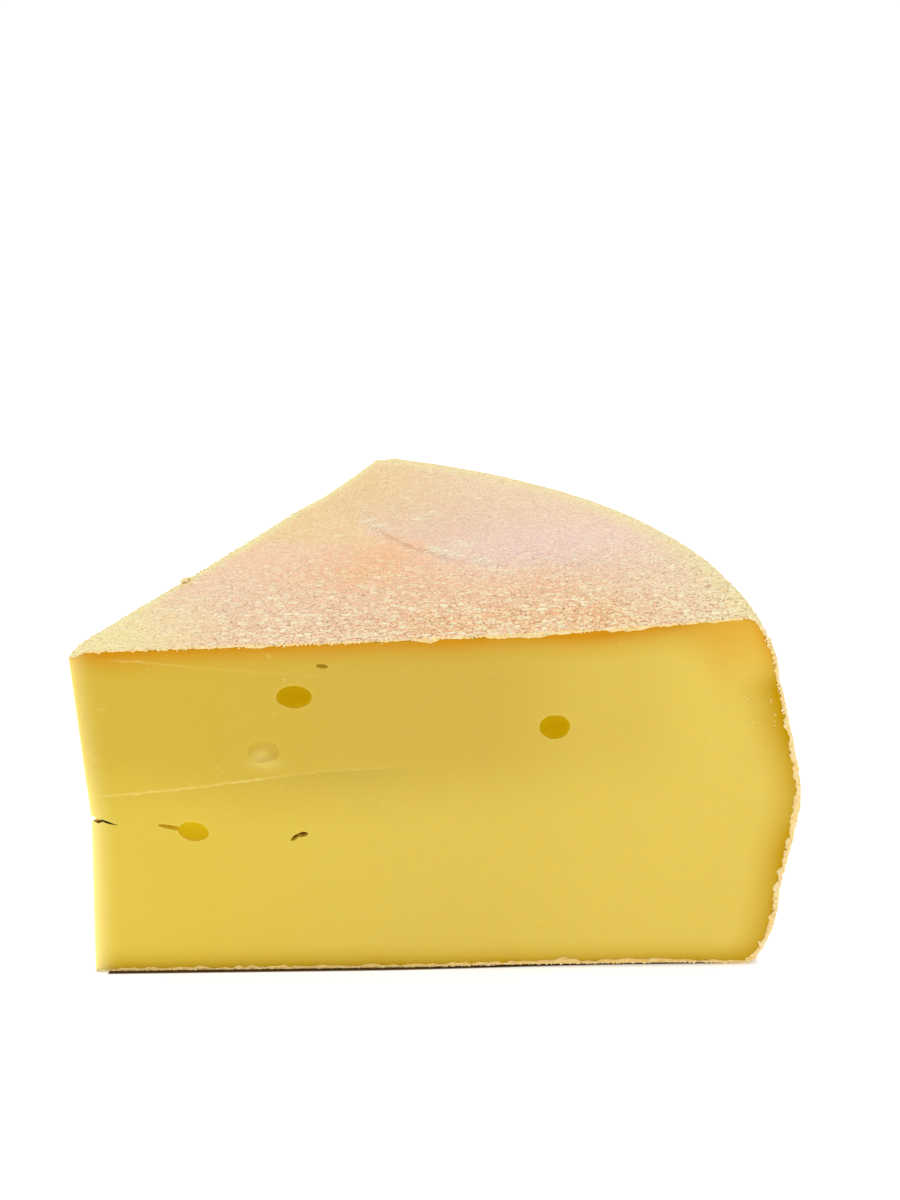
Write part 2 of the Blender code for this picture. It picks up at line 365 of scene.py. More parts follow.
def rind_tint(place):
    """The rind's colour at a point, before its grain."""
    radius = math.hypot(place.x, place.y)
    turn = math.atan2(place.y, place.x)
    drift = 5 * MM * lumps(place, 18 * MM, 31.0) + 2.5 * MM * lumps(place, 6 * MM, 33.0)
    x, y = place.x + drift, place.y + drift
    at_front = smooth_step(30 * MM, 6 * MM, y) * (0.2 + 0.8 * smooth_step(54 * MM, 84 * MM, x))
    tint = SALMON.lerp(ORANGE, at_front)
    tint = tint.lerp(RIM, 0.35 * patch(x, y, (26.0, 28.0), 20.0, 14.0))
    behind = smooth_step(-1 * MM, 4 * MM, crease_side(x, y)) * smooth_step(20 * MM, 44 * MM, y)
    beyond = smooth_step(57 * MM, 68 * MM, y) * smooth_step(66 * MM, 58 * MM, x)
    tint = tint.lerp(ORANGE, 0.9 * patch(x, y, (64.0, 47.0), 19.0, 20.0))
    tint = tint.lerp(ORANGE, 0.6 * patch(x, y, (82.0, 27.0), 14.0, 9.0))
    tint = tint.lerp(PALE, behind)
    tint = tint.lerp(RIM, 0.7 * smooth_step(114 * MM, 136 * MM, radius))
    tint = tint.lerp(SAND, max(0.75 * beyond, 0.8 * patch(x, y, (60.0, 108.0), 24.0, 28.0)))
    tint = tint.lerp(MAUVE, 0.66 * patch(x, y, (105.0, 55.0), 27.0, 18.0))
    tint = tint.lerp(ORANGE, 0.5 * patch(x, y, (104.0, 25.0), 14.0, 10.0))
    to_second_cut = radius * math.sin(max(0.0, WEDGE_ANGLE - turn))
    sandy = 1 - smooth_step(1 * MM, 15 * MM, to_second_cut + 0.6 * drift)
    tint = tint.lerp(SAND, 0.55 * sandy * smooth_step(60 * MM, 90 * MM, radius))
    edge = 1 - smooth_step(0.4 * MM, 3.6 * MM, to_second_cut + 0.15 * drift)
    tip = 1 - smooth_step(8 * MM, 44 * MM, radius + 0.6 * drift)
    shoulder = smooth_step(136 * MM, 146 * MM, radius + 0.2 * drift)
    tint = tint.lerp(STRAW_AND_GLOW, 0.9 * tip)
    # The straw along the second cut's edge and over the shoulder is partly a painted glow of these rims.
    tint = tint.lerp(STRAW_AND_GLOW, max(0.9 * edge, 0.8 * shoulder))
    # A painted shade line along the crease, where the step up would cast shade.
    strength = crease_strength(place.x, place.y)
    exact = crease_side(place.x, place.y) / MM + 0.35 * lumps(place, 3 * MM, 35.0)
    tint = tint.lerp(CREASE_SHADE, 0.38 * strength * math.exp(-((exact / 0.45) ** 2)))
    torn = max(patch(place.x, place.y, spot, reach, reach) for *spot, reach, _ in TORN_SPOTS)
    ragged = smooth_step(-0.3, 0.3, lumps(place, 2.4 * MM, 37.0))
    tint = tint.lerp(TORN, 0.85 * torn * ragged)
    if place.z < 78 * MM:
        mottle = 0.5 + 0.5 * lumps(place, 11 * MM, 41.0)
        heel = SALMON.lerp(CREAM, 0.35 + 0.5 * mottle)
        tint = tint.lerp(heel, smooth_step(79 * MM, 74 * MM, place.z))
    return tint


# %% [markdown]
# ## The rind
# The rind is a thin skin over the top, the heel and the base. Its outer side is the wheel's
# half section spun through the wedge's angle. Its edge is extruded inwards over the cut
# faces in small uneven steps, which gives the pale crumbling border that a knife leaves. A
# coarser inner side closes it, so the rind is one solid skin.

# %% The half section as a line of points
RIND_ROW = 0.72 * MM
BASE_ROWS = 100
AXIS_GAP = 0.25 * MM


def half_section(spacing):
    """The half section from the top's middle to the base's, as (radius, height) points."""
    rows = round(SHOULDER_RADIUS / spacing)
    radii = [AXIS_GAP + (SHOULDER_RADIUS - AXIS_GAP) * i / rows for i in range(rows)]
    top = [Vector((radius, top_height(radius))) for radius in radii]
    outline = [Vector((WHEEL_RADIUS - inset, height)) for inset, height in HEEL_OUTLINE]
    heel = curve_through(outline, spacing)
    corner = heel[-1].x
    shares = [i / BASE_ROWS for i in range(1, BASE_ROWS + 1)]
    base = [Vector((corner + (AXIS_GAP - corner) * share, 0.0)) for share in shares]
    return [*top, *heel, *base]


section = half_section(RIND_ROW)
section_arc = [0.0]
for before, after in zip(section, section[1:]):
    section_arc.append(section_arc[-1] + (after - before).length)
print("the half section has", len(section), "points")

# %% [markdown]
# A flat grid has one row for each point of the half section, and it is rolled up round the
# axis. A spin would give the same sheet, but slowly for so many columns. The columns are
# drawn closer together near both cut faces, where the finest crumbling shows. Every point
# keeps the number of its row in a layer, which extruding copies, so that a column of points
# can always be put back in order.

# %% Roll up the outer side
RIND_COLUMNS = 204
EDGE_FINENESS = 0.45


def new_verts(made):
    """The points that an operator reports."""
    return [item for item in made if isinstance(item, bmesh.types.BMVert)]


def grid_shares(bm):
    """Gives each point of a new grid its place along both sides, from 0 to 1."""
    low = min(vert.co.x for vert in bm.verts)
    return [(vert, (vert.co.x - low) / (-2 * low), (vert.co.y - low) / (-2 * low)) for vert in bm.verts]


rind = bmesh.new()
row_layer = rind.verts.layers.int.new("row")
tint_layer = rind.verts.layers.float_color.new("tint")
flake_layer = rind.verts.layers.float.new("flake")
bmesh.ops.create_grid(rind, x_segments=len(section) - 1, y_segments=RIND_COLUMNS, size=0.5)
front_column, back_column = [], []
for vert, along, share in grid_shares(rind):
    vert[row_layer] = round(along * (len(section) - 1))
    point = section[vert[row_layer]]
    turn = WEDGE_ANGLE * (share - EDGE_FINENESS * math.sin(math.tau * share) / math.tau)
    vert.co = (point.x * math.cos(turn), point.x * math.sin(turn), point.y)
    if share < 0.5 / RIND_COLUMNS:
        front_column.append(vert)
    elif share > 1 - 0.5 / RIND_COLUMNS:
        back_column.append(vert)
for column in (front_column, back_column):
    column.sort(key=lambda vert: vert[row_layer])
rind.normal_update()
if front_column[20].normal.z < 0:
    bmesh.ops.reverse_faces(rind, faces=rind.faces)
    rind.normal_update()
print("the sheet has", len(rind.verts), "points")

# %% Raise its relief and paint it
BASE_LIFT = 0.45 * MM


def base_lift(place):
    """The base curls a little off the table along the front cut."""
    near_front = 1 - smooth_step(0, 16 * MM, place.y)
    along = smooth_step(68 * MM, 100 * MM, place.x) * (1 - smooth_step(134 * MM, 148 * MM, place.x))
    return BASE_LIFT * near_front * along * (1 - smooth_step(0, 4 * MM, place.z))


moves = []
for vert in rind.verts:
    place = vert.co.copy()
    clear_of_base = smooth_step(0.5 * MM, 3 * MM, place.z)
    amount = flake_amount(place) * clear_of_base
    flake = flake_shape(place)
    lift = rind_swell(place) + FLAKE_HEIGHT * amount * (flake - 0.55)
    lift += 0.05 * MM * clear_of_base * lumps(place, 0.9 * MM, 51.0)
    lift = max(lift, -0.33 * MM)
    rise = base_lift(place)
    if vert.normal.z > 0.9:
        side = crease_side(place.x, place.y)
        torn = math.exp(-(((side - 1.5 * MM) / (3.5 * MM)) ** 2))
        torn *= crease_strength(place.x, place.y)
        rise = crease_lift(place.x, place.y) + 0.30 * MM * torn * lumps(place, 2.6 * MM, 61.0)
    moves.append(vert.normal * lift + Vector((0, 0, rise)))
    vert[tint_layer] = (*rind_tint(place), 1.0)
    vert[flake_layer] = amount
for vert, move in zip(rind.verts, moves):
    vert.co += move

# %% [markdown]
# The knife tears the dry skin instead of cutting it. So the edge is folded over the cut face
# in five steps: out and round, along in an uneven width, and back under the paste. Here and
# there a flake curls a little further. One last hidden step tucks it inside.

# %% Fold the uneven edge over the cut faces
EDGE_AT_HEEL = 1.1 * MM
EDGE_AT_BASE = 0.75 * MM
EDGE_ELSEWHERE = 0.42 * MM
HIDDEN_DEPTH = 3.0 * MM
HIDDEN_TURN = math.radians(0.4)


CURLS = ((92.0, 2.0, 0.5), (99.0, 5.5, 0.75), (116.3, 1.6, 0.6), (121.0, 2.6, 0.7), (137.0, 1.5, 0.4))
FRONT_SEED, BACK_SEED = 2.0, 9.0
SHOULDER_ROW = round(SHOULDER_RADIUS / RIND_ROW)


def section_outward(row):
    """The outward direction of the half section at one of its points."""
    run = section[min(row + 1, len(section) - 1)] - section[max(row - 1, 0)]
    return Vector((-run.y, 0.0, run.x)).normalized()


def edge_steps(row, seed):
    """How the torn edge runs at a row: pairs of how far inwards and how far out of the cut."""
    spot = Vector((section_arc[row] / MM, seed, 0.0))
    uneven = 0.7 * noise.noise(spot / 2.3) + 0.8 * noise.noise(spot / 0.9)
    curl = 2.6 * max(0.0, noise.noise(spot / 9.0 + Vector((0, 7, 0))) - 0.32)
    at_heel = smooth_step(143 * MM, 150 * MM, section[row].x)
    thickness = EDGE_AT_BASE if section[row].y < 1 * MM else EDGE_ELSEWHERE
    if section[row].y > 0:
        narrow = 1 - 0.5 * smooth_step(55 * MM, 65 * MM, section[row].y)
        thickness += (EDGE_AT_HEEL * narrow - thickness) * at_heel
    for middle, reach, strength in CURLS if seed == FRONT_SEED and row < SHOULDER_ROW else ():
        curl += strength * math.exp(-(((section[row].x / MM - middle) / reach) ** 2))
    width = max(0.28 * MM, thickness * (1 + uneven)) + 0.9 * MM * curl
    proud = (0.14 + 0.14 * noise.noise(spot / 1.3 + Vector((3, 0, 0))) + 0.35 * curl) * MM
    ragged = 0.10 * MM * noise.noise(spot / 0.7 + Vector((0, 0, 5)))
    return (
        (0.12 * MM, 0.10 * MM + ragged),
        (0.40 * width, proud),
        (0.80 * width, 0.8 * proud + ragged),
        (width, 0.03 * MM),
        (width + 0.15 * MM, -0.35 * MM),
    )


def fold_edge(column, turn, hidden_turn, out_of_cut, seed):
    """Extrudes one end of the outer side over its cut face and returns the hidden end."""
    starts = [vert.co.copy() for vert in column]
    to_cut = Matrix.Rotation(turn, 3, "Z")
    to_hidden = Matrix.Rotation(hidden_turn, 3, "Z")
    inwards = [-section_outward(row) for row in range(len(section))]
    folds = [edge_steps(row, seed) for row in range(len(section))]
    pale_shares = (0.35, 0.25, 0.15, 0.05, 0.0, 0.0)
    for step in range(6):
        ends = set(column)
        edges = {edge for vert in column for edge in vert.link_edges}
        edges = [edge for edge in edges if edge.is_boundary and set(edge.verts) <= ends]
        made = bmesh.ops.extrude_edge_only(rind, edges=edges)
        column = sorted(new_verts(made["geom"]), key=lambda vert: vert[row_layer])
        for vert in column:
            row = vert[row_layer]
            if step < 5:
                depth, out = folds[row][step]
                vert.co = starts[row] + to_cut @ inwards[row] * depth + out_of_cut * out
            else:
                nominal = Vector((section[row].x, 0.0, section[row].y))
                vert.co = to_hidden @ (nominal + inwards[row] * HIDDEN_DEPTH)
            pale = pale_shares[step] + 0.9 * noise.noise(Vector((section_arc[row] / MM, seed, step)) / 1.3)
            pale = max(0.0, min(1.0, pale))
            gold = EDGE_GOLD.lerp(CRUST_CREAM, pale)
            if section[row].y < 1 * MM:
                gold = BASE_GOLD.lerp(CRUST_CREAM, 0.5 * pale)
            vert[flake_layer] = 0.18
            vert[tint_layer] = (*gold, 1.0)
    return column


front_out = Vector((0.0, -1.0, 0.0))
back_out = Vector((-math.sin(WEDGE_ANGLE), math.cos(WEDGE_ANGLE), 0.0))
hidden_front = fold_edge(front_column, 0.0, HIDDEN_TURN, front_out, FRONT_SEED)
hidden_back = fold_edge(back_column, WEDGE_ANGLE, WEDGE_ANGLE - HIDDEN_TURN, back_out, BACK_SEED)

# %% Close it with its inner side
INNER_COLUMNS = 16
inner_verts = set(hidden_front)
inner_edges = {edge for vert in hidden_front for edge in vert.link_edges}
inner_edges = [edge for edge in inner_edges if set(edge.verts) <= inner_verts]
bmesh.ops.spin(
    rind,
    geom=hidden_front + inner_edges,
    cent=(0, 0, 0),
    axis=(0, 0, 1),
    angle=WEDGE_ANGLE - 2 * HIDDEN_TURN,
    steps=INNER_COLUMNS,
)
bmesh.ops.remove_doubles(rind, verts=rind.verts, dist=0.002 * MM)
open_edges = [edge for edge in rind.edges if edge.is_boundary]
bmesh.ops.holes_fill(rind, edges=open_edges, sides=0)
print("open edges left:", sum(not edge.is_manifold for edge in rind.edges))
bmesh.ops.recalc_face_normals(rind, faces=rind.faces)
rind.normal_update()
rind_tree = BVHTree.FromBMesh(rind)
for vert in rind.verts:
    vert.co = lean(vert.co)
rind_piece = finish_piece("cheese_rind", rind)
rind_piece.data.attributes.active_color = rind_piece.data.attributes["tint"]

# %% [markdown]
# ## The paste
# The paste is the body that the knife went through. One cut face is a flat grid, stretched
# so that its rows follow the top and its last column follows the heel. A turned copy of the
# grid is the other cut face, and its border is spun round the axis to join the two.

# %% Stretch a grid to the cut face
GRID_COLUMNS = 150
GRID_ROWS = 88
PASTE_INSET = 0.45 * MM
PASTE_TURNS = 24

paste = bmesh.new()
bmesh.ops.create_grid(paste, x_segments=GRID_COLUMNS, y_segments=GRID_ROWS, size=0.5)
for vert, along, up in grid_shares(paste):
    height = PASTE_INSET + up * (RIM_HEIGHT - 2 * PASTE_INSET)
    outline = min(heel_radius(height), heel_radius(height + 0.5 * MM))
    radius = along * (outline - PASTE_INSET)
    vert.co = (radius, 0.0, PASTE_INSET + up * (top_height(radius) - 2 * PASTE_INSET))

# %% Add the other cut face and join them
border = [edge for edge in paste.edges if edge.is_boundary]
border = [edge for edge in border if max(vert.co.x for vert in edge.verts) > 0.01 * MM]
border_verts = list({vert for edge in border for vert in edge.verts})
turned = bmesh.ops.duplicate(paste, geom=paste.verts[:] + paste.edges[:] + paste.faces[:])
turn_matrix = Matrix.Rotation(WEDGE_ANGLE, 3, "Z")
bmesh.ops.rotate(paste, verts=new_verts(turned["geom"]), cent=(0, 0, 0), matrix=turn_matrix)
bmesh.ops.spin(
    paste,
    geom=border_verts + border,
    cent=(0, 0, 0),
    axis=(0, 0, 1),
    angle=WEDGE_ANGLE,
    steps=PASTE_TURNS,
)
bmesh.ops.remove_doubles(paste, verts=paste.verts, dist=0.002 * MM)
print("paste edges that don't join two faces:", sum(not e.is_manifold for e in paste.edges))
for vert in paste.verts:
    aside = min(vert.co.y, vert.co.x * math.sin(WEDGE_ANGLE) - vert.co.y * math.cos(WEDGE_ANGLE))
    pull = 0.6 * smooth_step(0.05 * MM, 3 * MM, aside)
    middle = Vector((0.0, 0.0, 0.5 * RIM_HEIGHT))
    vert.co = middle + (vert.co - middle) * (1 - pull * MM / (0.5 * RIM_HEIGHT))
    vert.co.z += base_lift(vert.co)
    vert.co = lean(vert.co)

# %% [markdown]
# ## Knife marks
# The knife stopped twice, and each stop left a fine raised line. They need a finer grid than
# the rest, so only the faces near each line are subdivided.

# %% Refine the grid along the knife's lines
KNIFE_STEP = ((3.0, 44.4), (23.0, 46.1), (38.4, 48.0), (53.8, 49.9), (78.0, 51.0))
KNIFE_SCRATCH = ((7.0, 77.0), (18.0, 76.2), (29.6, 74.6), (48.6, 72.9), (68.0, 71.1))


def to_line(x, z, line):
    """The signed height over a line on the front cut, and how near x is to its ends."""
    best = None
    for (x0, z0), (x1, z1) in zip(line, line[1:]):
        run = Vector((x1 - x0, z1 - z0)) * MM
        offset = Vector((x - x0 * MM, z - z0 * MM))
        share = max(0.0, min(1.0, offset.dot(run) / run.length_squared))
        offset -= run * share
        side = 1.0 if offset.y > 0 else -1.0
        if best is None or offset.length < abs(best):
            best = side * offset.length
    return best


near_lines = set()
for face in paste.faces:
    middle = face.calc_center_median()
    if abs(middle.y) > 0.001 * MM:
        continue
    for line in (KNIFE_STEP, KNIFE_SCRATCH):
        if abs(to_line(middle.x, middle.z, line)) < 1.5 * MM:
            near_lines.add(face)
line_edges = list({edge for face in near_lines for edge in face.edges})
bmesh.ops.subdivide_edges(paste, edges=line_edges, cuts=4, use_grid_fill=True)
bmesh.ops.recalc_face_normals(paste, faces=paste.faces)
print("faces refined along the knife's lines:", len(near_lines))

# %% [markdown]
# ## Eyes, pits and the crack
# Gas leaves round eyes in the cheese, and the knife opens them. Each is an ellipsoid that a Boolean takes out of
# the paste, so it is a real hollow that gets its own shade. The same holds for the slits and for the crack at
# the tip, which is a thin tapering blade. The walls of the eyes and slits are also painted a deep gold shade,
# which stands for light bouncing inside them. Painted shade turns the slits brown and the crack nearly black.

# %% Eyes: along the face, height, half width, half height, depth, roundness and tilt
FRONT_EYES = (
    (49.2, 67.6, 3.8, 2.6, 5.2, 0.45, 0.0),
    (104.7, 59.6, 3.25, 2.85, 5.0, 0.45, 0.0),
    (41.8, 54.9, 3.4, 2.75, 1.3, -0.60, 0.0),
    (25.2, 35.6, 3.4, 2.4, 2.8, 0.30, -8.0),
    (49.2, 34.5, 1.25, 0.65, 2.0, 0.12, 12.0),
    (55.5, 74.6, 1.25, 0.55, 1.2, 0.12, -8.0),
)
FRONT_TAILS = (
    (20.4, 36.7, 3.0, 0.55, 1.8, 0.12, -12.0),
    (47.5, 33.8, 1.2, 0.50, 1.8, 0.12, 40.0),
)
DISH_TONE = (0.0, 0.3)
DISH_BULGE = 0.75 * MM
# For each front eye, pit and tail: how much painted deep gold shade its wall gets, and how much painted shade.
FRONT_TONES = (
    (1.0, 0.0),
    (1.0, 0.0),
    DISH_TONE,
    (1.0, 0.1),
    (1.0, 0.62),
    (1.0, 0.47),
    (0.9, 0.0),
    (1.0, 0.62),
)
BACK_EYES = (
    (112.0, 48.0, 3.3, 2.6, 4.8, 0.45, 0.0),
    (38.0, 26.5, 3.5, 2.7, 4.6, 0.40, 6.0),
    (71.0, 62.5, 2.4, 1.9, 3.2, 0.30, 0.0),
    (86.0, 24.0, 2.6, 0.7, 2.4, 0.12, -14.0),
)
CRACK_LINE = (
    (-3.0, 38.8, 1.35),
    (3.4, 39.1, 1.2),
    (4.3, 38.4, 0.95),
    (5.3, 38.6, 0.6),
    (6.6, 38.0, 0.55),
    (8.4, 37.4, 0.15),
)
CRACK_REACH = 16.0 * MM


def face_frame(turn):
    """Maps (along the cut face, into the cheese, up) to the wheel's frame."""
    if turn == 0.0:
        return Matrix.Identity(4)
    return Matrix.Rotation(turn, 4, "Z") @ Matrix.Diagonal((1.0, -1.0, 1.0, 1.0))


def add_eye(bm, spec, frame_matrix):
    """Adds the ellipsoid of one eye, sunk so that it opens at the size that is given."""
    along, height, half_width, half_height, depth, roundness, tilt = spec
    half_depth = depth / (1 + roundness)
    opening = math.sqrt(1 - roundness**2)
    middle = Vector((along, roundness * half_depth, height)) * MM
    size = (half_width / opening, half_depth, half_height / opening, 1.0)
    place = frame_matrix @ Matrix.Translation(middle)
    place = place @ Matrix.Rotation(math.radians(-tilt), 4, "Y")
    made = bmesh.ops.create_uvsphere(
        bm,
        u_segments=48,
        v_segments=24,
        radius=MM,
        matrix=place @ Matrix.Diagonal(size) @ Matrix.Rotation(math.radians(90), 4, "X"),
    )
    for vert in made["verts"]:
        swell = 0.05 * noise.noise(vert.co / (2.2 * MM))
        vert.co += (vert.co - frame_matrix @ middle) * swell


def add_crack(bm):
    """Adds the blade of the crack, as a thin outline extruded through the tip."""
    upper = [Vector((x, -1.0, z + thick / 2)) * MM for x, z, thick in CRACK_LINE]
    lower = [Vector((x, -1.0, z - thick / 2)) * MM for x, z, thick in reversed(CRACK_LINE)]
    side = bm.faces.new([bm.verts.new(p) for p in (*upper, *lower)])
    made = bmesh.ops.extrude_face_region(bm, geom=[side])
    bmesh.ops.translate(bm, verts=new_verts(made["geom"]), vec=(0, CRACK_REACH, 0))
    for depth in (0.2 * MM, 0.8 * MM, 2.4 * MM):
        whole = [geom for geom in (*bm.verts, *bm.edges, *bm.faces) if geom.is_valid]
        blade = [g for g in whole if max(v.co.x for v in (g.verts if hasattr(g, "verts") else [g])) < 12 * MM]
        bmesh.ops.bisect_plane(bm, geom=blade, plane_co=(0, depth, 0), plane_no=(0, 1, 0))


def scratch_object(name, bm):
    """A helper object for a Boolean, which is removed again after it."""
    bm.normal_update()
    bmesh.ops.recalc_face_normals(bm, faces=bm.faces)
    mesh = bpy.data.meshes.new(name)
    bm.to_mesh(mesh)
    bm.free()
    obj = bpy.data.objects.new(name, mesh)
    bpy.context.scene.collection.objects.link(obj)
    return obj


# %% Cut them out of the paste
eyes = bmesh.new()
for spec in FRONT_EYES:
    add_eye(eyes, spec, face_frame(0.0))
for spec in BACK_EYES:
    add_eye(eyes, spec, face_frame(WEDGE_ANGLE))
tails_and_crack = bmesh.new()
for spec in FRONT_TAILS:
    add_eye(tails_and_crack, spec, face_frame(0.0))
add_crack(tails_and_crack)

body = scratch_object("paste_body", paste)
cutters = [scratch_object("eyes", eyes), scratch_object("tails_and_crack", tails_and_crack)]
for cutter in cutters:
    hollow = body.modifiers.new(cutter.name, "BOOLEAN")
    hollow.operation = "DIFFERENCE"
    hollow.solver = "EXACT"
    hollow.object = cutter
bpy.context.view_layer.update()
carved = bpy.data.meshes.new_from_object(body.evaluated_get(bpy.context.evaluated_depsgraph_get()))
for helper in (body, *cutters):
    bpy.data.objects.remove(helper)
paste = bmesh.new()
paste.from_mesh(carved)
print("carved paste:", len(paste.verts), "points, open edges", sum(e.is_boundary for e in paste.edges))

# %% [markdown]
# ## The cut surface
# A cut face isn't a perfect plane. The paste gives way a little under the knife, which
# leaves slow waves, a small step where the knife stopped and a fine lip along it.

# %% Relief and depth of the cut faces
STEP_DEPTH = 0.12 * MM
LIP_HEIGHT = 0.20 * MM


def cut_relief(x, z):
    """How far the front cut stands out of its plane, the painted highlight on its lip and below the shallow eye,
    and the shade under the lip.
    """
    wave = 0.16 * MM * lumps(Vector((x * 0.6, 3.0, z)), 26 * MM, 71.0)
    wave += 0.03 * MM * lumps(Vector((x * 0.3, 5.0, z)), 5 * MM, 73.0)
    relief, painted_highlight, shade = wave, 0.0, 0.0
    for line, lip_strength, step_strength, faint in ((KNIFE_STEP, 1.0, 1.0, 34), (KNIFE_SCRATCH, 0.6, 0.15, 15)):
        start, end = line[0][0] * MM, line[-1][0] * MM
        along = smooth_step(start - 1 * MM, start + 8 * MM, x) * (1 - smooth_step(end - 14 * MM, end, x))
        side = to_line(x, z, line) + 0.25 * MM * noise.noise(Vector((x / (2.5 * MM), 0.0, 1.0)))
        broken = 0.35 + 1.1 * abs(noise.noise(Vector((x / (3.0 * MM), 2.0, 0.0))))
        early = 0.30 + 0.70 * (1 - smooth_step(faint * MM, (faint + 20) * MM, x))
        lip = along * lip_strength * early * broken * math.exp(-((side / (0.26 * MM)) ** 2))
        step = smooth_step(-0.5 * MM, 0.5 * MM, side) * math.exp(-max(0.0, side) / (5 * MM))
        relief += LIP_HEIGHT * lip + STEP_DEPTH * along * step_strength * step
        # A painted highlight along the raised lip.
        painted_highlight = max(painted_highlight, 0.65 * lip)
        below = smooth_step(0.6 * MM, -0.4 * MM, side)
        below *= math.exp(min(0.0, side + 0.4 * MM) / ((2 + 3 * smooth_step(30 * MM, 70 * MM, x)) * MM))
        late = 0.25 + 0.75 * smooth_step(32 * MM, 58 * MM, x)
        shade = max(shade, 0.28 * along * step_strength * late * below)
    # A painted highlight on the cut just below the shallow eye's lower rim.
    below_dish = math.hypot((x / MM - 42.0) / 3.6, (z / MM - 51.9) / 1.3)
    painted_highlight = max(painted_highlight, 0.30 * math.exp(-(below_dish**2)))
    return relief, painted_highlight, shade


def second_cut_distance(place):
    """How deep inside the second cut a point lies."""
    x = place.x
    for _ in range(3):
        reach = math.hypot(x, place.y)
        x = place.x - tip_inset(place.z) * max(0.0, 1 - reach / LEAN_REACH)
    return x * math.sin(WEDGE_ANGLE) - place.y * math.cos(WEDGE_ANGLE)


def eye_tone(place, to_front, to_second):
    """On the wall of a hollow: how much painted deep gold shade, painted shade and painted highlight it gets,
    and how far it bulges.
    """
    depth = smooth_step(0, 1.6 * MM, min(to_front, to_second))
    if to_front > to_second:
        return depth, 0.0, 0.0, 0.0
    # The crack's wall gets full painted shade from a fifth of a millimetre under the surface.
    if place.x < 12.5 * MM:
        return 0.0, smooth_step(0, 0.2 * MM, to_front), 0.0, 0.0
    best, tones, where = None, (1.0, 0.0), (0.0, 0.0)
    for spec, wall_and_shade in zip((*FRONT_EYES, *FRONT_TAILS), FRONT_TONES):
        across, up = (place.x / MM - spec[0]) / spec[2], (place.z / MM - spec[1]) / spec[3]
        if best is None or across**2 + up**2 < best:
            best, tones, where = across**2 + up**2, wall_and_shade, (across, up)
    if tones != DISH_TONE:
        return depth * tones[0], depth * tones[1], 0.0, 0.0
    across, up = where
    # The shallow eye: a bulge in its middle, painted shade in its upper crescent, and a painted highlight on its
    # lower part and on the bulge.
    bulge = math.exp(-(((across + 0.15) / 0.45) ** 2) - ((up + 0.20) / 0.42) ** 2)
    crescent = smooth_step(0.25, 0.9, 0.45 * across + 0.85 * up)
    pale = smooth_step(0.1, 0.8, -0.8 * up - 0.1 * across) + 0.7 * bulge
    return 0.0, 0.35 * crescent, DISH_BULGE * bulge, 0.32 * min(1.0, pale) * (1 - crescent)


depth_layer = paste.verts.layers.float_vector.new("depth_mm")
eye_shade_layer = paste.verts.layers.float.new("hollow")
highlight_layer = paste.verts.layers.float.new("painted_highlight")
upper_shade_layer = paste.verts.layers.float.new("upper_shade")
tip_glow_layer = paste.verts.layers.float.new("tip")
shade_layer = paste.verts.layers.float.new("shade")
DEEPEST = 40.0
front_count = 0
for vert in paste.verts:
    place = vert.co.copy()
    radius = math.hypot(place.x, place.y)
    under_top = top_height(radius) - place.z - corner_sag(place)
    near_shoulder = smooth_step(126 * MM, 141 * MM, radius)
    under_top = under_top * (1 - 0.76 * near_shoulder) + 1.9 * MM * near_shoulder
    under_top -= 0.8 * MM * math.exp(-(((radius - 109 * MM) / (14 * MM)) ** 2))
    under_top -= 0.5 * MM * math.exp(-(((radius - 14 * MM) / (12 * MM)) ** 2))
    under_heel = heel_radius(place.z) - radius
    corner = smooth_step(67 * MM, 77 * MM, place.z)
    under_top += corner * min(0.0, 0.8 * under_heel + 1.0 * MM - under_top)
    under_heel += 8.0 * MM * corner
    under_heel += 2.3 * MM * math.exp(-(((place.z - 42 * MM) / (11 * MM)) ** 2))
    under_heel += 0.9 * MM * smooth_step(32 * MM, 22 * MM, place.z)
    depths = (under_top, under_heel, place.z - base_lift(place))
    vert[depth_layer] = Vector([min(DEEPEST, depth / MM) for depth in depths])
    to_front, to_second = place.y, second_cut_distance(place)
    # A painted glow along the tip's edge, where light runs through the thin paste. It is stronger low down.
    low_down = 0.53 + 0.37 * smooth_step(60 * MM, 25 * MM, place.z)
    band = max(0.0, 1 - max(0.0, to_front, to_second) / (6.5 * MM))
    vert[tip_glow_layer] = low_down * band**3
    # Painted shade: the upper part of the cut faces is painted darker, and the lower part, which light bounced
    # from the floor reaches, stays lighter. It fades towards the heel.
    higher = 6 * MM * smooth_step(45 * MM, 12 * MM, place.x)
    above_step = smooth_step(30 * MM, 52 * MM, place.z - 0.06 * place.x - higher)
    towards_heel = 0.5 * smooth_step(84 * MM, 116 * MM, place.x) + 0.5 * smooth_step(120 * MM, 138 * MM, place.x)
    vert[upper_shade_layer] = above_step * (1 - towards_heel)
    if abs(to_front) < 0.002 * MM:
        front_count += 1
        relief, vert[highlight_layer], vert[shade_layer] = cut_relief(place.x, place.z)
        vert.co.y -= relief
    elif abs(to_second) < 0.05 * MM:
        wave = 0.16 * MM * lumps(Vector((radius * 0.6, 9.0, place.z)), 26 * MM, 81.0)
        vert.co += back_out * wave
    elif min(depths) > 0.9 * MM:
        # Inside a hollow: painted deep gold shade, painted shade, the shallow eye's bulge and painted highlight.
        hollow, shade, bulge, pale = eye_tone(place, to_front, to_second)
        vert[eye_shade_layer], vert[shade_layer], vert[highlight_layer] = hollow, shade, pale
        vert.co.y -= bulge
print("points on the front cut:", front_count)
paste_piece = finish_piece("cheese_paste", paste, math.radians(38))

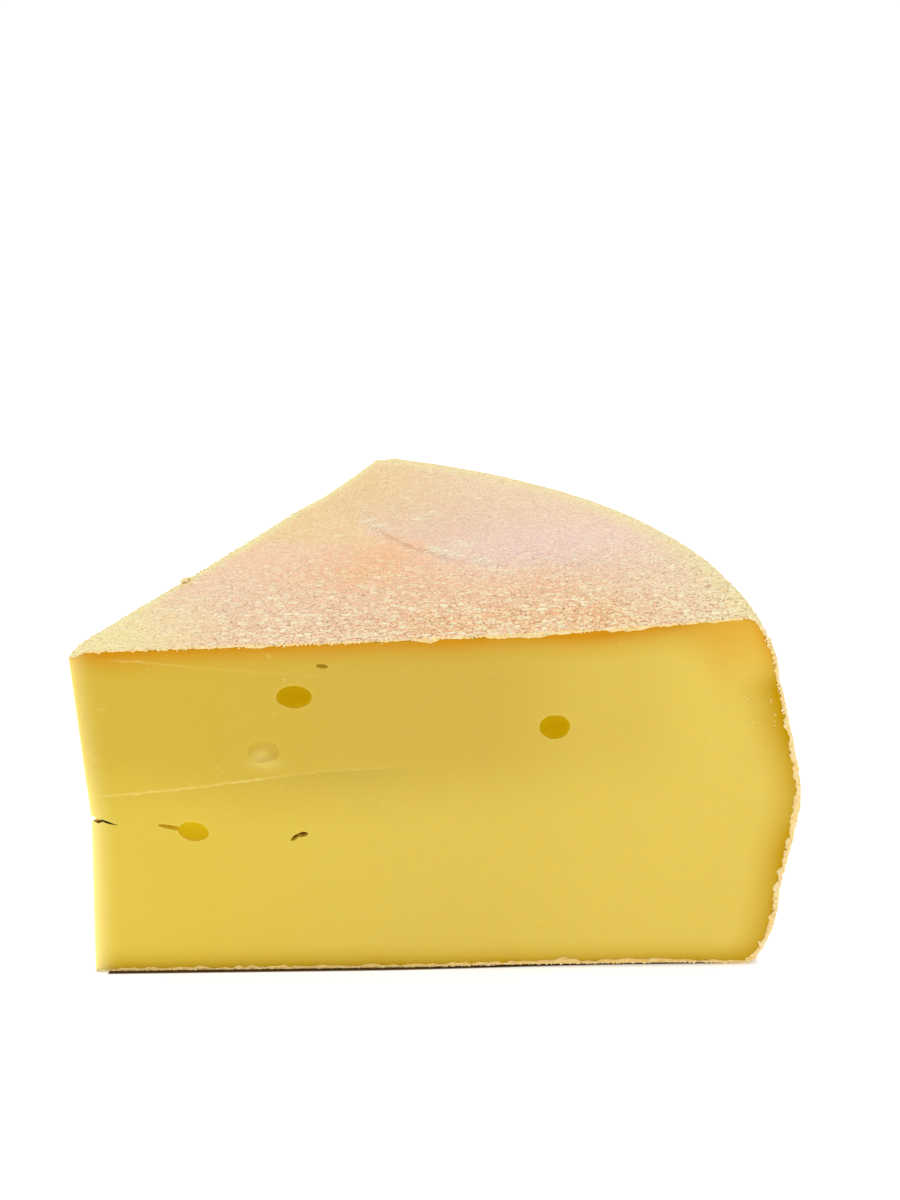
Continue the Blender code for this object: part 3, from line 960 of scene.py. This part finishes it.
# %% [markdown]
# ## Crumbs
# A dry rind sheds flat flakes and crumbs. They lie thickest near the front cut and along the
# torn edges. Each is a small icosphere with its corners jolted and pressed flat. It has few
# faces, because there are thousands, and all of them are one piece.

# %% Scatter flakes over the rind
FLAKE_COUNT_TOP = 3000
FLAKE_COUNT_HEEL = 900
CRUMB_COUNT_EDGE = 2400
TOP_SPREAD = 24.0 * MM

BATCH = 120

dice = random.Random(11)
crumbs = bmesh.new()
crumb_tint = crumbs.verts.layers.float_color.new("tint")
crumb_flake = crumbs.verts.layers.float.new("flake")
batch = bmesh.new()
crumb_tints = []


def empty_batch():
    """Moves the small mesh of new crumbs into the large one, because a small one is quick."""
    mesh = bpy.data.meshes.new("batch")
    batch.to_mesh(mesh)
    crumbs.from_mesh(mesh)
    bpy.data.meshes.remove(mesh)
    batch.clear()


def add_crumb(place, normal, size, flatness, tint):
    """Adds one jolted, flattened crumb that is half sunk in the surface at that place."""
    turn = normal.to_track_quat("Z", "Y").to_matrix().to_4x4()
    spin_turn = Matrix.Rotation(dice.uniform(0, math.tau), 4, "Z")
    shape = Matrix.Diagonal((size * dice.uniform(0.8, 1.5), size, size * flatness, 1.0))
    made = bmesh.ops.create_icosphere(
        batch,
        subdivisions=1,
        radius=1.0,
        matrix=Matrix.Translation(place) @ turn @ spin_turn @ shape,
    )
    for vert in made["verts"]:
        jolt = Vector((dice.uniform(-1, 1), dice.uniform(-1, 1), dice.uniform(-1, 1)))
        vert.co += jolt * size * 0.22
    crumb_tints.append(tint)
    if len(crumb_tints) % BATCH == 0:
        empty_batch()


def crumb_colour(place):
    """A crumb is paler and yellower than the skin that it came from."""
    return rind_tint(place).lerp(Vector((0.96, 0.85, 0.54)), dice.uniform(0.3, 0.9))


made_count = 0
while made_count < FLAKE_COUNT_TOP:
    radius = 148 * MM * math.sqrt(dice.random())
    away = dice.expovariate(1 / TOP_SPREAD) if dice.random() < 0.85 else dice.uniform(0, 135 * MM)
    if away > radius * math.sin(WEDGE_ANGLE):
        continue
    x = math.sqrt(max(0.0, radius * radius - away * away))
    if math.atan2(away, x) > WEDGE_ANGLE - 0.01 or x < 1.5 * MM:
        continue
    hit, normal, _, _ = rind_tree.ray_cast(Vector((x, away, 0.1)), Vector((0, 0, -1)))
    if hit is None or hit.z < 70 * MM:
        continue
    if dice.random() > 0.35 + 0.65 * flake_amount(hit):
        continue
    size = dice.uniform(0.16, 0.48) * MM
    add_crumb(hit + normal * size * 0.05, normal, size, dice.uniform(0.25, 0.5), crumb_colour(hit))
    made_count += 1

# %% Torn flakes behind the crease, and one crumb on the far edge
for across, away, reach, count in TORN_SPOTS:
    for _ in range(count):
        spot = Vector((dice.gauss(across, 0.6 * reach), dice.gauss(away, 0.6 * reach), 100.0)) * MM
        hit, normal, _, _ = rind_tree.ray_cast(spot, Vector((0, 0, -1)))
        size = dice.uniform(0.25, 0.6) * MM
        tint = rind_tint(hit).lerp(TORN, dice.uniform(0.4, 1.0))
        add_crumb(hit + normal * size * 0.1, normal, size, dice.uniform(0.12, 0.3), tint)
for across, away, size in ((18.6, 40.0, 0.8), (19.2, 41.2, 0.55), (18.0, 39.2, 0.5)):
    hit, normal, _, _ = rind_tree.ray_cast(Vector((across, away, 100.0)) * MM, Vector((0, 0, -1)))
    if hit is not None:
        add_crumb(hit + normal * 0.5 * MM, normal, size * MM, 0.8, EDGE_GOLD.lerp(TORN, 0.5))

# %% Scatter flakes over the heel
for _ in range(FLAKE_COUNT_HEEL):
    turn = dice.uniform(0.005, WEDGE_ANGLE - 0.005)
    height = dice.uniform(4, 80) * MM
    outward = Vector((math.cos(turn), math.sin(turn), 0.0))
    start = outward * 0.2 + Vector((0, 0, height))
    hit, normal, _, _ = rind_tree.ray_cast(start, -outward)
    if hit is None:
        continue
    size = dice.uniform(0.2, 0.55) * MM
    add_crumb(hit + normal * size * 0.05, normal, size, dice.uniform(0.25, 0.5), crumb_colour(hit))

# %% Crumble the torn edges
for _ in range(CRUMB_COUNT_EDGE):
    row = dice.randrange(len(section) - BASE_ROWS)
    if dice.random() < 0.32:
        row = len(section) - 1 - dice.randrange(BASE_ROWS)
    nominal = section[row].lerp(section[row - 1], dice.random()) if row else section[row]
    nominal = Vector((nominal.x, 0.0, nominal.y))
    at_front = dice.random() < 0.6
    at_heel = 2 * MM < section[row].y < 79 * MM
    depth = abs(dice.gauss(0.35 if at_heel else 0.2, 0.35 if at_heel else 0.18)) * MM
    place = nominal - section_outward(row) * depth
    out = dice.uniform(0.0, 0.22) * MM
    place.z += base_lift(place)
    size = dice.uniform(0.12, 0.32 if at_heel else 0.24) * MM
    if at_front:
        place.y -= out
        normal = front_out
    else:
        place = Matrix.Rotation(WEDGE_ANGLE, 3, "Z") @ place + back_out * out
        normal = back_out
    place.z = max(place.z, size * 1.3)
    gold = BASE_GOLD if section[row].y < 1 * MM else EDGE_GOLD
    pale = gold.lerp(CRUST_CREAM, dice.uniform(0.0, 0.8))
    add_crumb(place, normal, size, dice.uniform(0.6, 1.0), pale)

# %% Crumbs on the cut face
PASTE_CRUMB = Vector((0.93, 0.76, 0.27))
FACE_CRUMBS = (
    (149.6, 64.2),
    (151.0, 61.7),
    (151.2, 59.6),
    (144.4, 65.0),
    (146.2, 58.3),
    (46.0, 72.5),
    (13.5, 66.1),
)
for across, up in FACE_CRUMBS:
    for _ in range(2):
        x, z = across + dice.gauss(0, 0.3), up + dice.gauss(0, 0.9)
        size = dice.uniform(0.12, 0.24) * MM
        add_crumb(Vector((x, -0.08, z)) * MM, front_out, size, 0.4, PASTE_CRUMB)

empty_batch()
batch.free()
crumb_points = len(crumbs.verts) // len(crumb_tints)
for index, vert in enumerate(crumbs.verts):
    vert.co = lean(vert.co)
    vert[crumb_tint] = (*crumb_tints[index // crumb_points], 1.0)
    vert[crumb_flake] = 0.3
crumbs_piece = finish_piece("rind_crumbs", crumbs)
crumbs_piece.data.shade_flat()
crumbs_piece.data.attributes.active_color = crumbs_piece.data.attributes["tint"]

# %% [markdown]
# ## Materials
# Both finishes are dull and take in light. The paste lets light run under its surface, which is part of why a
# thin tip glows; the rest is a painted glow along the tip's edge. Two effects are used more than once, so they
# are node groups. The first is a grain that both rind and crumbs have, whose dark gaps and pale plates are
# partly painted shade and highlight. The second is the cure, which is how much a point of the paste has dried
# and darkened, worked out from its depth under the skin.


# %% Node helpers
def new_group(name, inputs, outputs):
    """An empty node group with those sockets, and its first and last node."""
    group = bpy.data.node_groups.new(name, "ShaderNodeTree")
    for label, kind, value in inputs:
        socket = group.interface.new_socket(label, in_out="INPUT", socket_type=kind)
        if value is not None:
            socket.default_value = value
    for label, kind in outputs:
        group.interface.new_socket(label, in_out="OUTPUT", socket_type=kind)
    return group, group.nodes.new("NodeGroupInput"), group.nodes.new("NodeGroupOutput")


def add_node(tree, kind, links=(), **settings):
    """Adds a node, sets its properties and links its inputs, given as (input, source)."""
    node = tree.nodes.new(kind)
    for name, value in settings.items():
        setattr(node, name, value)
    for target, source in links:
        if isinstance(source, bpy.types.NodeSocket):
            tree.links.new(source, node.inputs[target])
        else:
            node.inputs[target].default_value = source
    return node


def mix_colour(tree, amount, low, high, blend="MIX"):
    """A colour mix of two sockets or values."""
    node = tree.nodes.new("ShaderNodeMix")
    node.data_type = "RGBA"
    node.blend_type = blend
    for target, source in ((0, amount), (6, low), (7, high)):
        if isinstance(source, bpy.types.NodeSocket):
            tree.links.new(source, node.inputs[target])
        else:
            node.inputs[target].default_value = source
    return node.outputs[2]


def ramp(tree, value, low, high, to_low=0.0, to_high=1.0, kind="SMOOTHSTEP"):
    """A ramp of a value, smooth or straight."""
    node = add_node(tree, "ShaderNodeMapRange", [("Value", value)], interpolation_type=kind)
    node.inputs["From Min"].default_value = low
    node.inputs["From Max"].default_value = high
    node.inputs["To Min"].default_value = to_low
    node.inputs["To Max"].default_value = to_high
    return node.outputs["Result"]


def maths(tree, operation, first, second=0.0):
    """One Math node."""
    node = add_node(tree, "ShaderNodeMath", [(0, first), (1, second)], operation=operation)
    return node.outputs[0]


# %% The grain group
def grain_group():
    """Dry grain: masks of the dark gaps and of the pale plates, and a height for both."""
    inputs = (("Vector", "NodeSocketVector", None), ("Size per metre", "NodeSocketFloat", 800.0))
    outputs = tuple((label, "NodeSocketFloat") for label in ("Gaps", "Plates", "Speckle", "Height"))
    group, start, end = new_group("rind grain", inputs, outputs)
    vector, size = start.outputs["Vector"], start.outputs["Size per metre"]
    warp = add_node(group, "ShaderNodeTexNoise", [("Vector", vector)])
    group.links.new(maths(group, "MULTIPLY", size, 0.6), warp.inputs["Scale"])
    warped = add_node(group, "ShaderNodeVectorMath", [(0, warp.outputs["Color"])], operation="MULTIPLY_ADD")
    warped.inputs[1].default_value = (0.0018, 0.0018, 0.0018)
    group.links.new(vector, warped.inputs[2])
    breaks = add_node(group, "ShaderNodeTexNoise", [("Vector", vector)])
    group.links.new(maths(group, "MULTIPLY", size, 1.3), breaks.inputs["Scale"])
    fine = add_node(group, "ShaderNodeTexNoise", [("Vector", vector)])
    group.links.new(maths(group, "MULTIPLY", size, 4.0), fine.inputs["Scale"])
    fine.inputs["Detail"].default_value = 3.0
    broken = ramp(group, breaks.outputs["Fac"], 0.46, 0.58)
    gaps, plates, inside = None, None, None
    for share, width, rarest, strength in ((1.0, 0.075, 0.52, 1.0), (1.9, 0.10, 0.58, 0.55)):
        scale = maths(group, "MULTIPLY", size, share)
        links = [("Vector", warped.outputs[0]), ("Scale", scale)]
        cells = add_node(group, "ShaderNodeTexVoronoi", links)
        edges = add_node(group, "ShaderNodeTexVoronoi", links)
        edges.feature = "DISTANCE_TO_EDGE"
        lot = add_node(group, "ShaderNodeSeparateXYZ", [(0, cells.outputs["Color"])])
        line = ramp(group, edges.outputs["Distance"], 0.01, width, strength, 0.0)
        line = maths(group, "MULTIPLY", line, broken)
        flat = ramp(group, edges.outputs["Distance"], 0.03, 0.17)
        plate = maths(group, "MULTIPLY", flat, ramp(group, lot.outputs[0], rarest, 0.8, 0.0, strength))
        gaps = line if gaps is None else maths(group, "MAXIMUM", gaps, line)
        plates = plate if plates is None else maths(group, "MAXIMUM", plates, plate)
        inside = flat if inside is None else maths(group, "MINIMUM", inside, flat)
        broken = maths(group, "SUBTRACT", 1.0, broken)
    long = add_node(group, "ShaderNodeMapping", [("Vector", warped.outputs[0])])
    long.inputs["Scale"].default_value = (0.5, 0.9, 0.75)
    seams = add_node(group, "ShaderNodeTexVoronoi", [("Vector", long.outputs[0]), ("Scale", size)])
    seams.feature = "DISTANCE_TO_EDGE"
    seam = ramp(group, seams.outputs["Distance"], 0.01, 0.06, 1.0, 0.0)
    seam = maths(group, "MULTIPLY", seam, ramp(group, fine.outputs["Fac"], 0.46, 0.56))
    gaps = maths(group, "MAXIMUM", gaps, seam)
    speckle = ramp(group, fine.outputs["Fac"], 0.35, 0.65)
    high = maths(group, "ADD", maths(group, "MULTIPLY", plates, 0.7), inside)
    height = maths(group, "ADD", high, maths(group, "MULTIPLY", speckle, 0.5))
    for label, value in (("Gaps", gaps), ("Plates", plates), ("Speckle", speckle), ("Height", height)):
        group.links.new(value, end.inputs[label])
    return group


RIND_GRAIN = grain_group()


# %% The rind's material
# The gaps' brown is partly painted shade between the flakes, and the plates' cream is partly a painted highlight
# on them.
GAP_BROWN_AND_SHADE = (0.34, 0.135, 0.05, 1.0)
PLATE_CREAM_AND_HIGHLIGHT = (1.0, 0.93, 0.64, 1.0)
DUSK = (0.90, 0.84, 0.77, 1.0)


def rind_material(name, gap_darkness, bump_strength):
    """Dry grainy skin: its patches come from the mesh and its grain from the group, whose dark gaps and pale
    plates are partly painted shade and highlight.
    """
    material = bpy.data.materials.new(name)
    material.use_nodes = True
    tree = material.node_tree
    shader = tree.nodes["Principled BSDF"]
    coords = add_node(tree, "ShaderNodeTexCoord").outputs["Object"]
    tint = add_node(tree, "ShaderNodeAttribute", attribute_name="tint").outputs["Color"]
    flaky = add_node(tree, "ShaderNodeAttribute", attribute_name="flake").outputs["Fac"]
    grain = add_node(tree, "ShaderNodeGroup", node_tree=RIND_GRAIN)
    along = add_node(tree, "ShaderNodeMapping", [("Vector", coords)])
    along.inputs["Scale"].default_value = (0.75, 1.05, 1.0)
    tree.links.new(along.outputs[0], grain.inputs["Vector"])
    grain.inputs["Size per metre"].default_value = 740.0
    cracked = ramp(tree, flaky, 0.0, 1.0, 0.15 * gap_darkness, gap_darkness, "LINEAR")
    # Dark gaps, partly painted shade, and pale plates, partly painted highlight.
    gaps = maths(tree, "MULTIPLY", grain.outputs["Gaps"], cracked)
    dark = mix_colour(tree, gaps, tint, GAP_BROWN_AND_SHADE)
    plates = maths(tree, "MULTIPLY", grain.outputs["Plates"], flaky)
    light = mix_colour(tree, plates, dark, PLATE_CREAM_AND_HIGHLIGHT)
    dull = maths(tree, "MULTIPLY", grain.outputs["Speckle"], 0.32)
    colour = mix_colour(tree, dull, light, DUSK, "MULTIPLY")
    tree.links.new(colour, shader.inputs["Base Color"])
    bump = add_node(tree, "ShaderNodeBump", [("Height", grain.outputs["Height"])])
    bump.inputs["Strength"].default_value = bump_strength
    bump.inputs["Distance"].default_value = 0.00015
    tree.links.new(bump.outputs["Normal"], shader.inputs["Normal"])
    shader.inputs["Roughness"].default_value = 0.82
    shader.inputs["Specular IOR Level"].default_value = 0.25
    shader.inputs["Subsurface Weight"].default_value = 0.10
    shader.inputs["Subsurface Radius"].default_value = (1.0, 0.55, 0.25)
    shader.inputs["Subsurface Scale"].default_value = 0.001
    return material


rind_piece.data.materials.append(rind_material("dry washed rind", 0.97, 0.8))
crumbs_piece.data.materials.append(rind_material("rind crumb", 0.20, 0.35))


# %% [markdown]
# The paste darkens towards the rind, where it has dried: it turns orange under the top,
# brown-gold at the heel and olive-gold just above the base. The mesh carries each point's
# depth under those three skins in millimetres, and the cure group turns them to masks.


# %% The cure group
def cure_group():
    """Masks from 0 in the fresh paste to 1 right under the top, the heel and the base."""
    inputs = (
        ("Depths", "NodeSocketVector", None),
        ("Vector", "NodeSocketVector", None),
    )
    outputs = (
        ("Top", "NodeSocketFloat"),
        ("Heel", "NodeSocketFloat"),
        ("Base", "NodeSocketFloat"),
    )
    group, start, end = new_group("cure", inputs, outputs)
    uneven = add_node(group, "ShaderNodeTexNoise", [("Vector", start.outputs["Vector"])])
    uneven.inputs["Scale"].default_value = 45.0
    uneven.inputs["Detail"].default_value = 2.0
    drift = ramp(group, uneven.outputs["Fac"], 0.3, 0.7, -0.5, 0.5)
    depths = add_node(group, "ShaderNodeSeparateXYZ", [(0, start.outputs["Depths"])])
    top = maths(group, "ADD", depths.outputs[0], drift)
    heel = maths(group, "ADD", depths.outputs[1], drift)
    base = maths(group, "ADD", depths.outputs[2], maths(group, "MULTIPLY", drift, 0.5))
    for depth, full, reach, power, label in (
        (top, 0.5, 8.0, 2.1, "Top"),
        (heel, 1.4, 10.5, 1.75, "Heel"),
        (base, 0.5, 7.6, 2.1, "Base"),
    ):
        near = ramp(group, depth, full, reach, 1.0, 0.0, "LINEAR")
        group.links.new(maths(group, "POWER", near, power), end.inputs[label])
    return group


CURE = cure_group()

# %% The paste's material
PASTE_AT_TIP = (0.693, 0.507, 0.066, 1.0)
PASTE_MIDDLE = (0.676, 0.493, 0.085, 1.0)
PASTE_AT_HEEL = (0.708, 0.52, 0.094, 1.0)
# The tone of the painted shade in the upper part of the cut faces.
UPPER_SHADE_TONE = (0.875, 0.83, 0.73, 1.0)
UNDER_TOP = (0.60, 0.245, 0.0, 1.0)
UNDER_CORNER = (0.71, 0.30, 0.0, 1.0)
UNDER_HEEL = (0.52, 0.285, 0.0, 1.0)
OVER_BASE = (0.50, 0.29, 0.0, 1.0)
# Painted deep gold shade for the walls of the eyes, where light bounces inside them.
EYE_SHADE_GOLD = (0.85, 0.625, 0.001, 1.0)
# Painted highlight on the knife lips, and in and below the shallow eye.
HIGHLIGHT_PALE = (0.88, 0.72, 0.26, 1.0)
# Painted glow of the thin tip's edge.
TIP_GLOW = (0.97, 0.85, 0.33, 1.0)
SHADED = (0.44, 0.31, 0.05, 1.0)
# Painted shade in the narrow slits and the crack: brown, and nearly black where it is deepest.
DEEP_SHADE_BROWN = (0.36, 0.13, 0.001, 1.0)
DARKEST_SHADE = (0.05, 0.038, 0.01, 1.0)


def paste_material():
    """Smooth cut cheese that lets light run under its surface."""
    material = bpy.data.materials.new("cut paste")
    material.use_nodes = True
    tree = material.node_tree
    shader = tree.nodes["Principled BSDF"]
    coords = add_node(tree, "ShaderNodeTexCoord").outputs["Object"]
    depths = add_node(tree, "ShaderNodeAttribute", attribute_name="depth_mm").outputs["Vector"]
    hollow = add_node(tree, "ShaderNodeAttribute", attribute_name="hollow").outputs["Fac"]
    cure = add_node(tree, "ShaderNodeGroup", node_tree=CURE)
    tree.links.new(depths, cure.inputs["Depths"])
    tree.links.new(coords, cure.inputs["Vector"])
    cloud = add_node(tree, "ShaderNodeTexNoise", [("Vector", coords), ("Scale", 22.0)])
    cloud.inputs["Detail"].default_value = 3.0
    cloudy = ramp(tree, cloud.outputs["Fac"], 0.3, 0.7, -0.08, 0.08)
    upper_shade = add_node(tree, "ShaderNodeAttribute", attribute_name="upper_shade").outputs["Fac"]
    across = add_node(tree, "ShaderNodeSeparateXYZ", [(0, coords)]).outputs[0]
    colour = mix_colour(tree, ramp(tree, across, -0.07, 0.0), PASTE_AT_TIP, PASTE_MIDDLE)
    colour = mix_colour(tree, ramp(tree, across, 0.0, 0.06), colour, PASTE_AT_HEEL)
    # The painted upper shade, with a faint cloudy mottle of tone added to it.
    upper_shade = maths(tree, "ADD", upper_shade, cloudy)
    colour = mix_colour(tree, upper_shade, colour, UPPER_SHADE_TONE, "MULTIPLY")
    orange = mix_colour(tree, ramp(tree, across, 0.050, 0.068), UNDER_TOP, UNDER_CORNER)
    for mask, strength, shade in (
        ("Top", 0.95, orange),
        ("Heel", 1.0, UNDER_HEEL),
        ("Base", 0.95, OVER_BASE),
    ):
        amount = maths(tree, "MULTIPLY", cure.outputs[mask], strength)
        colour = mix_colour(tree, amount, colour, shade)
    # The painted glow along the tip's edge.
    tip = add_node(tree, "ShaderNodeAttribute", attribute_name="tip").outputs["Fac"]
    colour = mix_colour(tree, tip, colour, TIP_GLOW)
    # The walls of the eyes get a painted deep gold shade, stronger deeper in.
    colour = mix_colour(tree, maths(tree, "MULTIPLY", hollow, 0.95), colour, EYE_SHADE_GOLD)
    shade = add_node(tree, "ShaderNodeAttribute", attribute_name="shade").outputs["Fac"]
    colour = mix_colour(tree, shade, colour, SHADED)
    # Deep painted shade turns brown in the slits and nearly black in the crack.
    colour = mix_colour(tree, ramp(tree, shade, 0.38, 0.60), colour, DEEP_SHADE_BROWN)
    colour = mix_colour(tree, ramp(tree, shade, 0.85, 0.97), colour, DARKEST_SHADE)
    # The painted highlight of the knife lips and of the shallow eye.
    painted_highlight = add_node(tree, "ShaderNodeAttribute", attribute_name="painted_highlight").outputs["Fac"]
    colour = mix_colour(tree, painted_highlight, colour, HIGHLIGHT_PALE)
    fleck = add_node(tree, "ShaderNodeTexNoise", [("Vector", coords), ("Scale", 420.0)])
    fleck.inputs["Detail"].default_value = 2.0
    flecks = ramp(tree, fleck.outputs["Fac"], 0.68, 0.80, 0.0, 0.16)
    colour = mix_colour(tree, flecks, colour, (0.90, 0.72, 0.22, 1.0))
    tree.links.new(colour, shader.inputs["Base Color"])
    stretch = add_node(tree, "ShaderNodeMapping", [("Vector", coords)])
    stretch.inputs["Scale"].default_value = (1.0, 1.0, 5.0)
    streak = add_node(tree, "ShaderNodeTexNoise", [("Vector", stretch.outputs[0]), ("Scale", 60.0)])
    streak.inputs["Detail"].default_value = 5.0
    pores = add_node(tree, "ShaderNodeTexNoise", [("Vector", coords), ("Scale", 900.0)])
    height = maths(tree, "ADD", streak.outputs["Fac"], maths(tree, "MULTIPLY", pores.outputs["Fac"], 0.3))
    bump = add_node(tree, "ShaderNodeBump", [("Height", height)])
    bump.inputs["Strength"].default_value = 0.25
    bump.inputs["Distance"].default_value = 0.00015
    tree.links.new(bump.outputs["Normal"], shader.inputs["Normal"])
    gloss = ramp(tree, streak.outputs["Fac"], 0.3, 0.7, 0.42, 0.56)
    tree.links.new(gloss, shader.inputs["Roughness"])
    shader.inputs["Specular IOR Level"].default_value = 0.04
    shader.inputs["Subsurface Weight"].default_value = 0.4
    shader.inputs["Subsurface Radius"].default_value = (1.0, 0.6, 0.12)
    shader.inputs["Subsurface Scale"].default_value = 0.0025
    return material


paste_piece.data.materials.append(paste_material())

# %% [markdown]
# ## Floor and light
# The photograph is soft and nearly free of shadow, so the wedge stands on a pale floor in an even bright room.
# The floor glows beside the wedge, which keeps it white, and a painted contact shadow darkens it in a narrow
# strip under the front edge. One large lamp from the back left lights the top. The tip glows from light running
# under the paste and from a painted glow.

# %% Floor
FLOOR_SIDE = 60.0
floor_bm = bmesh.new()
bmesh.ops.create_grid(floor_bm, x_segments=8, y_segments=8, size=FLOOR_SIDE / 2)
floor_mesh = bpy.data.meshes.new("floor")
floor_bm.to_mesh(floor_mesh)
floor_bm.free()
floor = bpy.data.objects.new("floor", floor_mesh)
bpy.context.scene.collection.objects.link(floor)

floor_material = bpy.data.materials.new("pale floor")
floor_material.use_nodes = True
floor_tree = floor_material.node_tree
floor_shader = floor_tree.nodes["Principled BSDF"]
floor_coords = add_node(floor_tree, "ShaderNodeTexCoord").outputs["Object"]
floor_noise = add_node(floor_tree, "ShaderNodeTexNoise", [("Vector", floor_coords), ("Scale", 3.0)])
floor_colour = mix_colour(
    floor_tree, floor_noise.outputs["Fac"], (0.94, 0.94, 0.94, 1.0), (0.96, 0.96, 0.955, 1.0)
)
floor_shader.inputs["Roughness"].default_value = 0.7
floor_shader.inputs["Specular IOR Level"].default_value = 0.0
floor_shader.inputs["Emission Color"].default_value = (0.80, 0.88, 1.0, 1.0)
floor_place = add_node(floor_tree, "ShaderNodeSeparateXYZ", [(0, floor_coords)])
to_axis = [maths(floor_tree, "SUBTRACT", floor_place.outputs[i], AXIS_PLACE[i]) for i in (0, 1)]
ahead = maths(floor_tree, "MULTIPLY", to_axis[1], -1.0)
beside = maths(
    floor_tree,
    "SUBTRACT",
    maths(floor_tree, "MULTIPLY", to_axis[1], math.cos(WEDGE_ANGLE)),
    maths(floor_tree, "MULTIPLY", to_axis[0], math.sin(WEDGE_ANGLE)),
)
span = maths(
    floor_tree,
    "ADD",
    maths(floor_tree, "MULTIPLY", to_axis[0], to_axis[0]),
    maths(floor_tree, "MULTIPLY", to_axis[1], to_axis[1]),
)
outside = maths(floor_tree, "SUBTRACT", maths(floor_tree, "SQRT", span), 150 * MM)
away = maths(floor_tree, "MAXIMUM", maths(floor_tree, "MAXIMUM", ahead, beside), outside)
# How far the painted contact shadow reaches in front of the front edge, from 1.2 mm down to none along X.
shadow_reach = ramp(floor_tree, floor_place.outputs[0], -20 * MM, 45 * MM, 1.2 * MM, -0.1 * MM)
near_edge = maths(floor_tree, "MAXIMUM", maths(floor_tree, "SUBTRACT", ahead, shadow_reach), beside)
near_edge = maths(floor_tree, "MAXIMUM", near_edge, maths(floor_tree, "ADD", outside, 3.5 * MM))
near_edge = maths(floor_tree, "MAXIMUM", near_edge, maths(floor_tree, "SUBTRACT", 3 * MM, to_axis[0]))
# A painted contact shadow: the floor is painted nearly black under the wedge and in a narrow strip in front of
# its edge.
painted_contact_shadow = ramp(floor_tree, near_edge, -0.3 * MM, 0.3 * MM, 0.99, 0.0)
outside_painted_shadow = maths(floor_tree, "SUBTRACT", 1.0, painted_contact_shadow)
floor_colour = mix_colour(floor_tree, painted_contact_shadow, floor_colour, (0.075, 0.034, 0.002, 1.0))
floor_tree.links.new(floor_colour, floor_shader.inputs["Base Color"])
# Beside the wedge the floor glows, which keeps it white. Inside the painted shadow it doesn't glow.
lit = maths(floor_tree, "MULTIPLY", ramp(floor_tree, away, -0.3 * MM, 2 * MM, 0.0, 0.42), outside_painted_shadow)
floor_tree.links.new(lit, floor_shader.inputs["Emission Strength"])
floor_mesh.materials.append(floor_material)

# %% Light
WORLD_STRENGTH = 1.02
world = bpy.data.worlds.new("bright room")
world.use_nodes = True
world.node_tree.nodes["Background"].inputs["Color"].default_value = (1.0, 1.0, 1.0, 1.0)
world.node_tree.nodes["Background"].inputs["Strength"].default_value = WORLD_STRENGTH
bpy.context.scene.world = world
bpy.context.scene.view_settings.view_transform = "Standard"


def add_lamp(name, place, target, side, power):
    """A square soft lamp that looks at a point."""
    data = bpy.data.lights.new(name, "AREA")
    data.size = side
    data.energy = power
    lamp = bpy.data.objects.new(name, data)
    bpy.context.scene.collection.objects.link(lamp)
    look = (Vector(target) - Vector(place)).to_track_quat("-Z", "Y")
    lamp.matrix_world = Matrix.Translation(Vector(place)) @ look.to_matrix().to_4x4()
    return lamp


add_lamp("back_left", (-0.9, 0.7, 1.0), (0, 0, 0.05), 0.9, 3.5)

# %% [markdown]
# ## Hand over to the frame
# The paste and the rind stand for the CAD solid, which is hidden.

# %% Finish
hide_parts(NODE)
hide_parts(NODE)
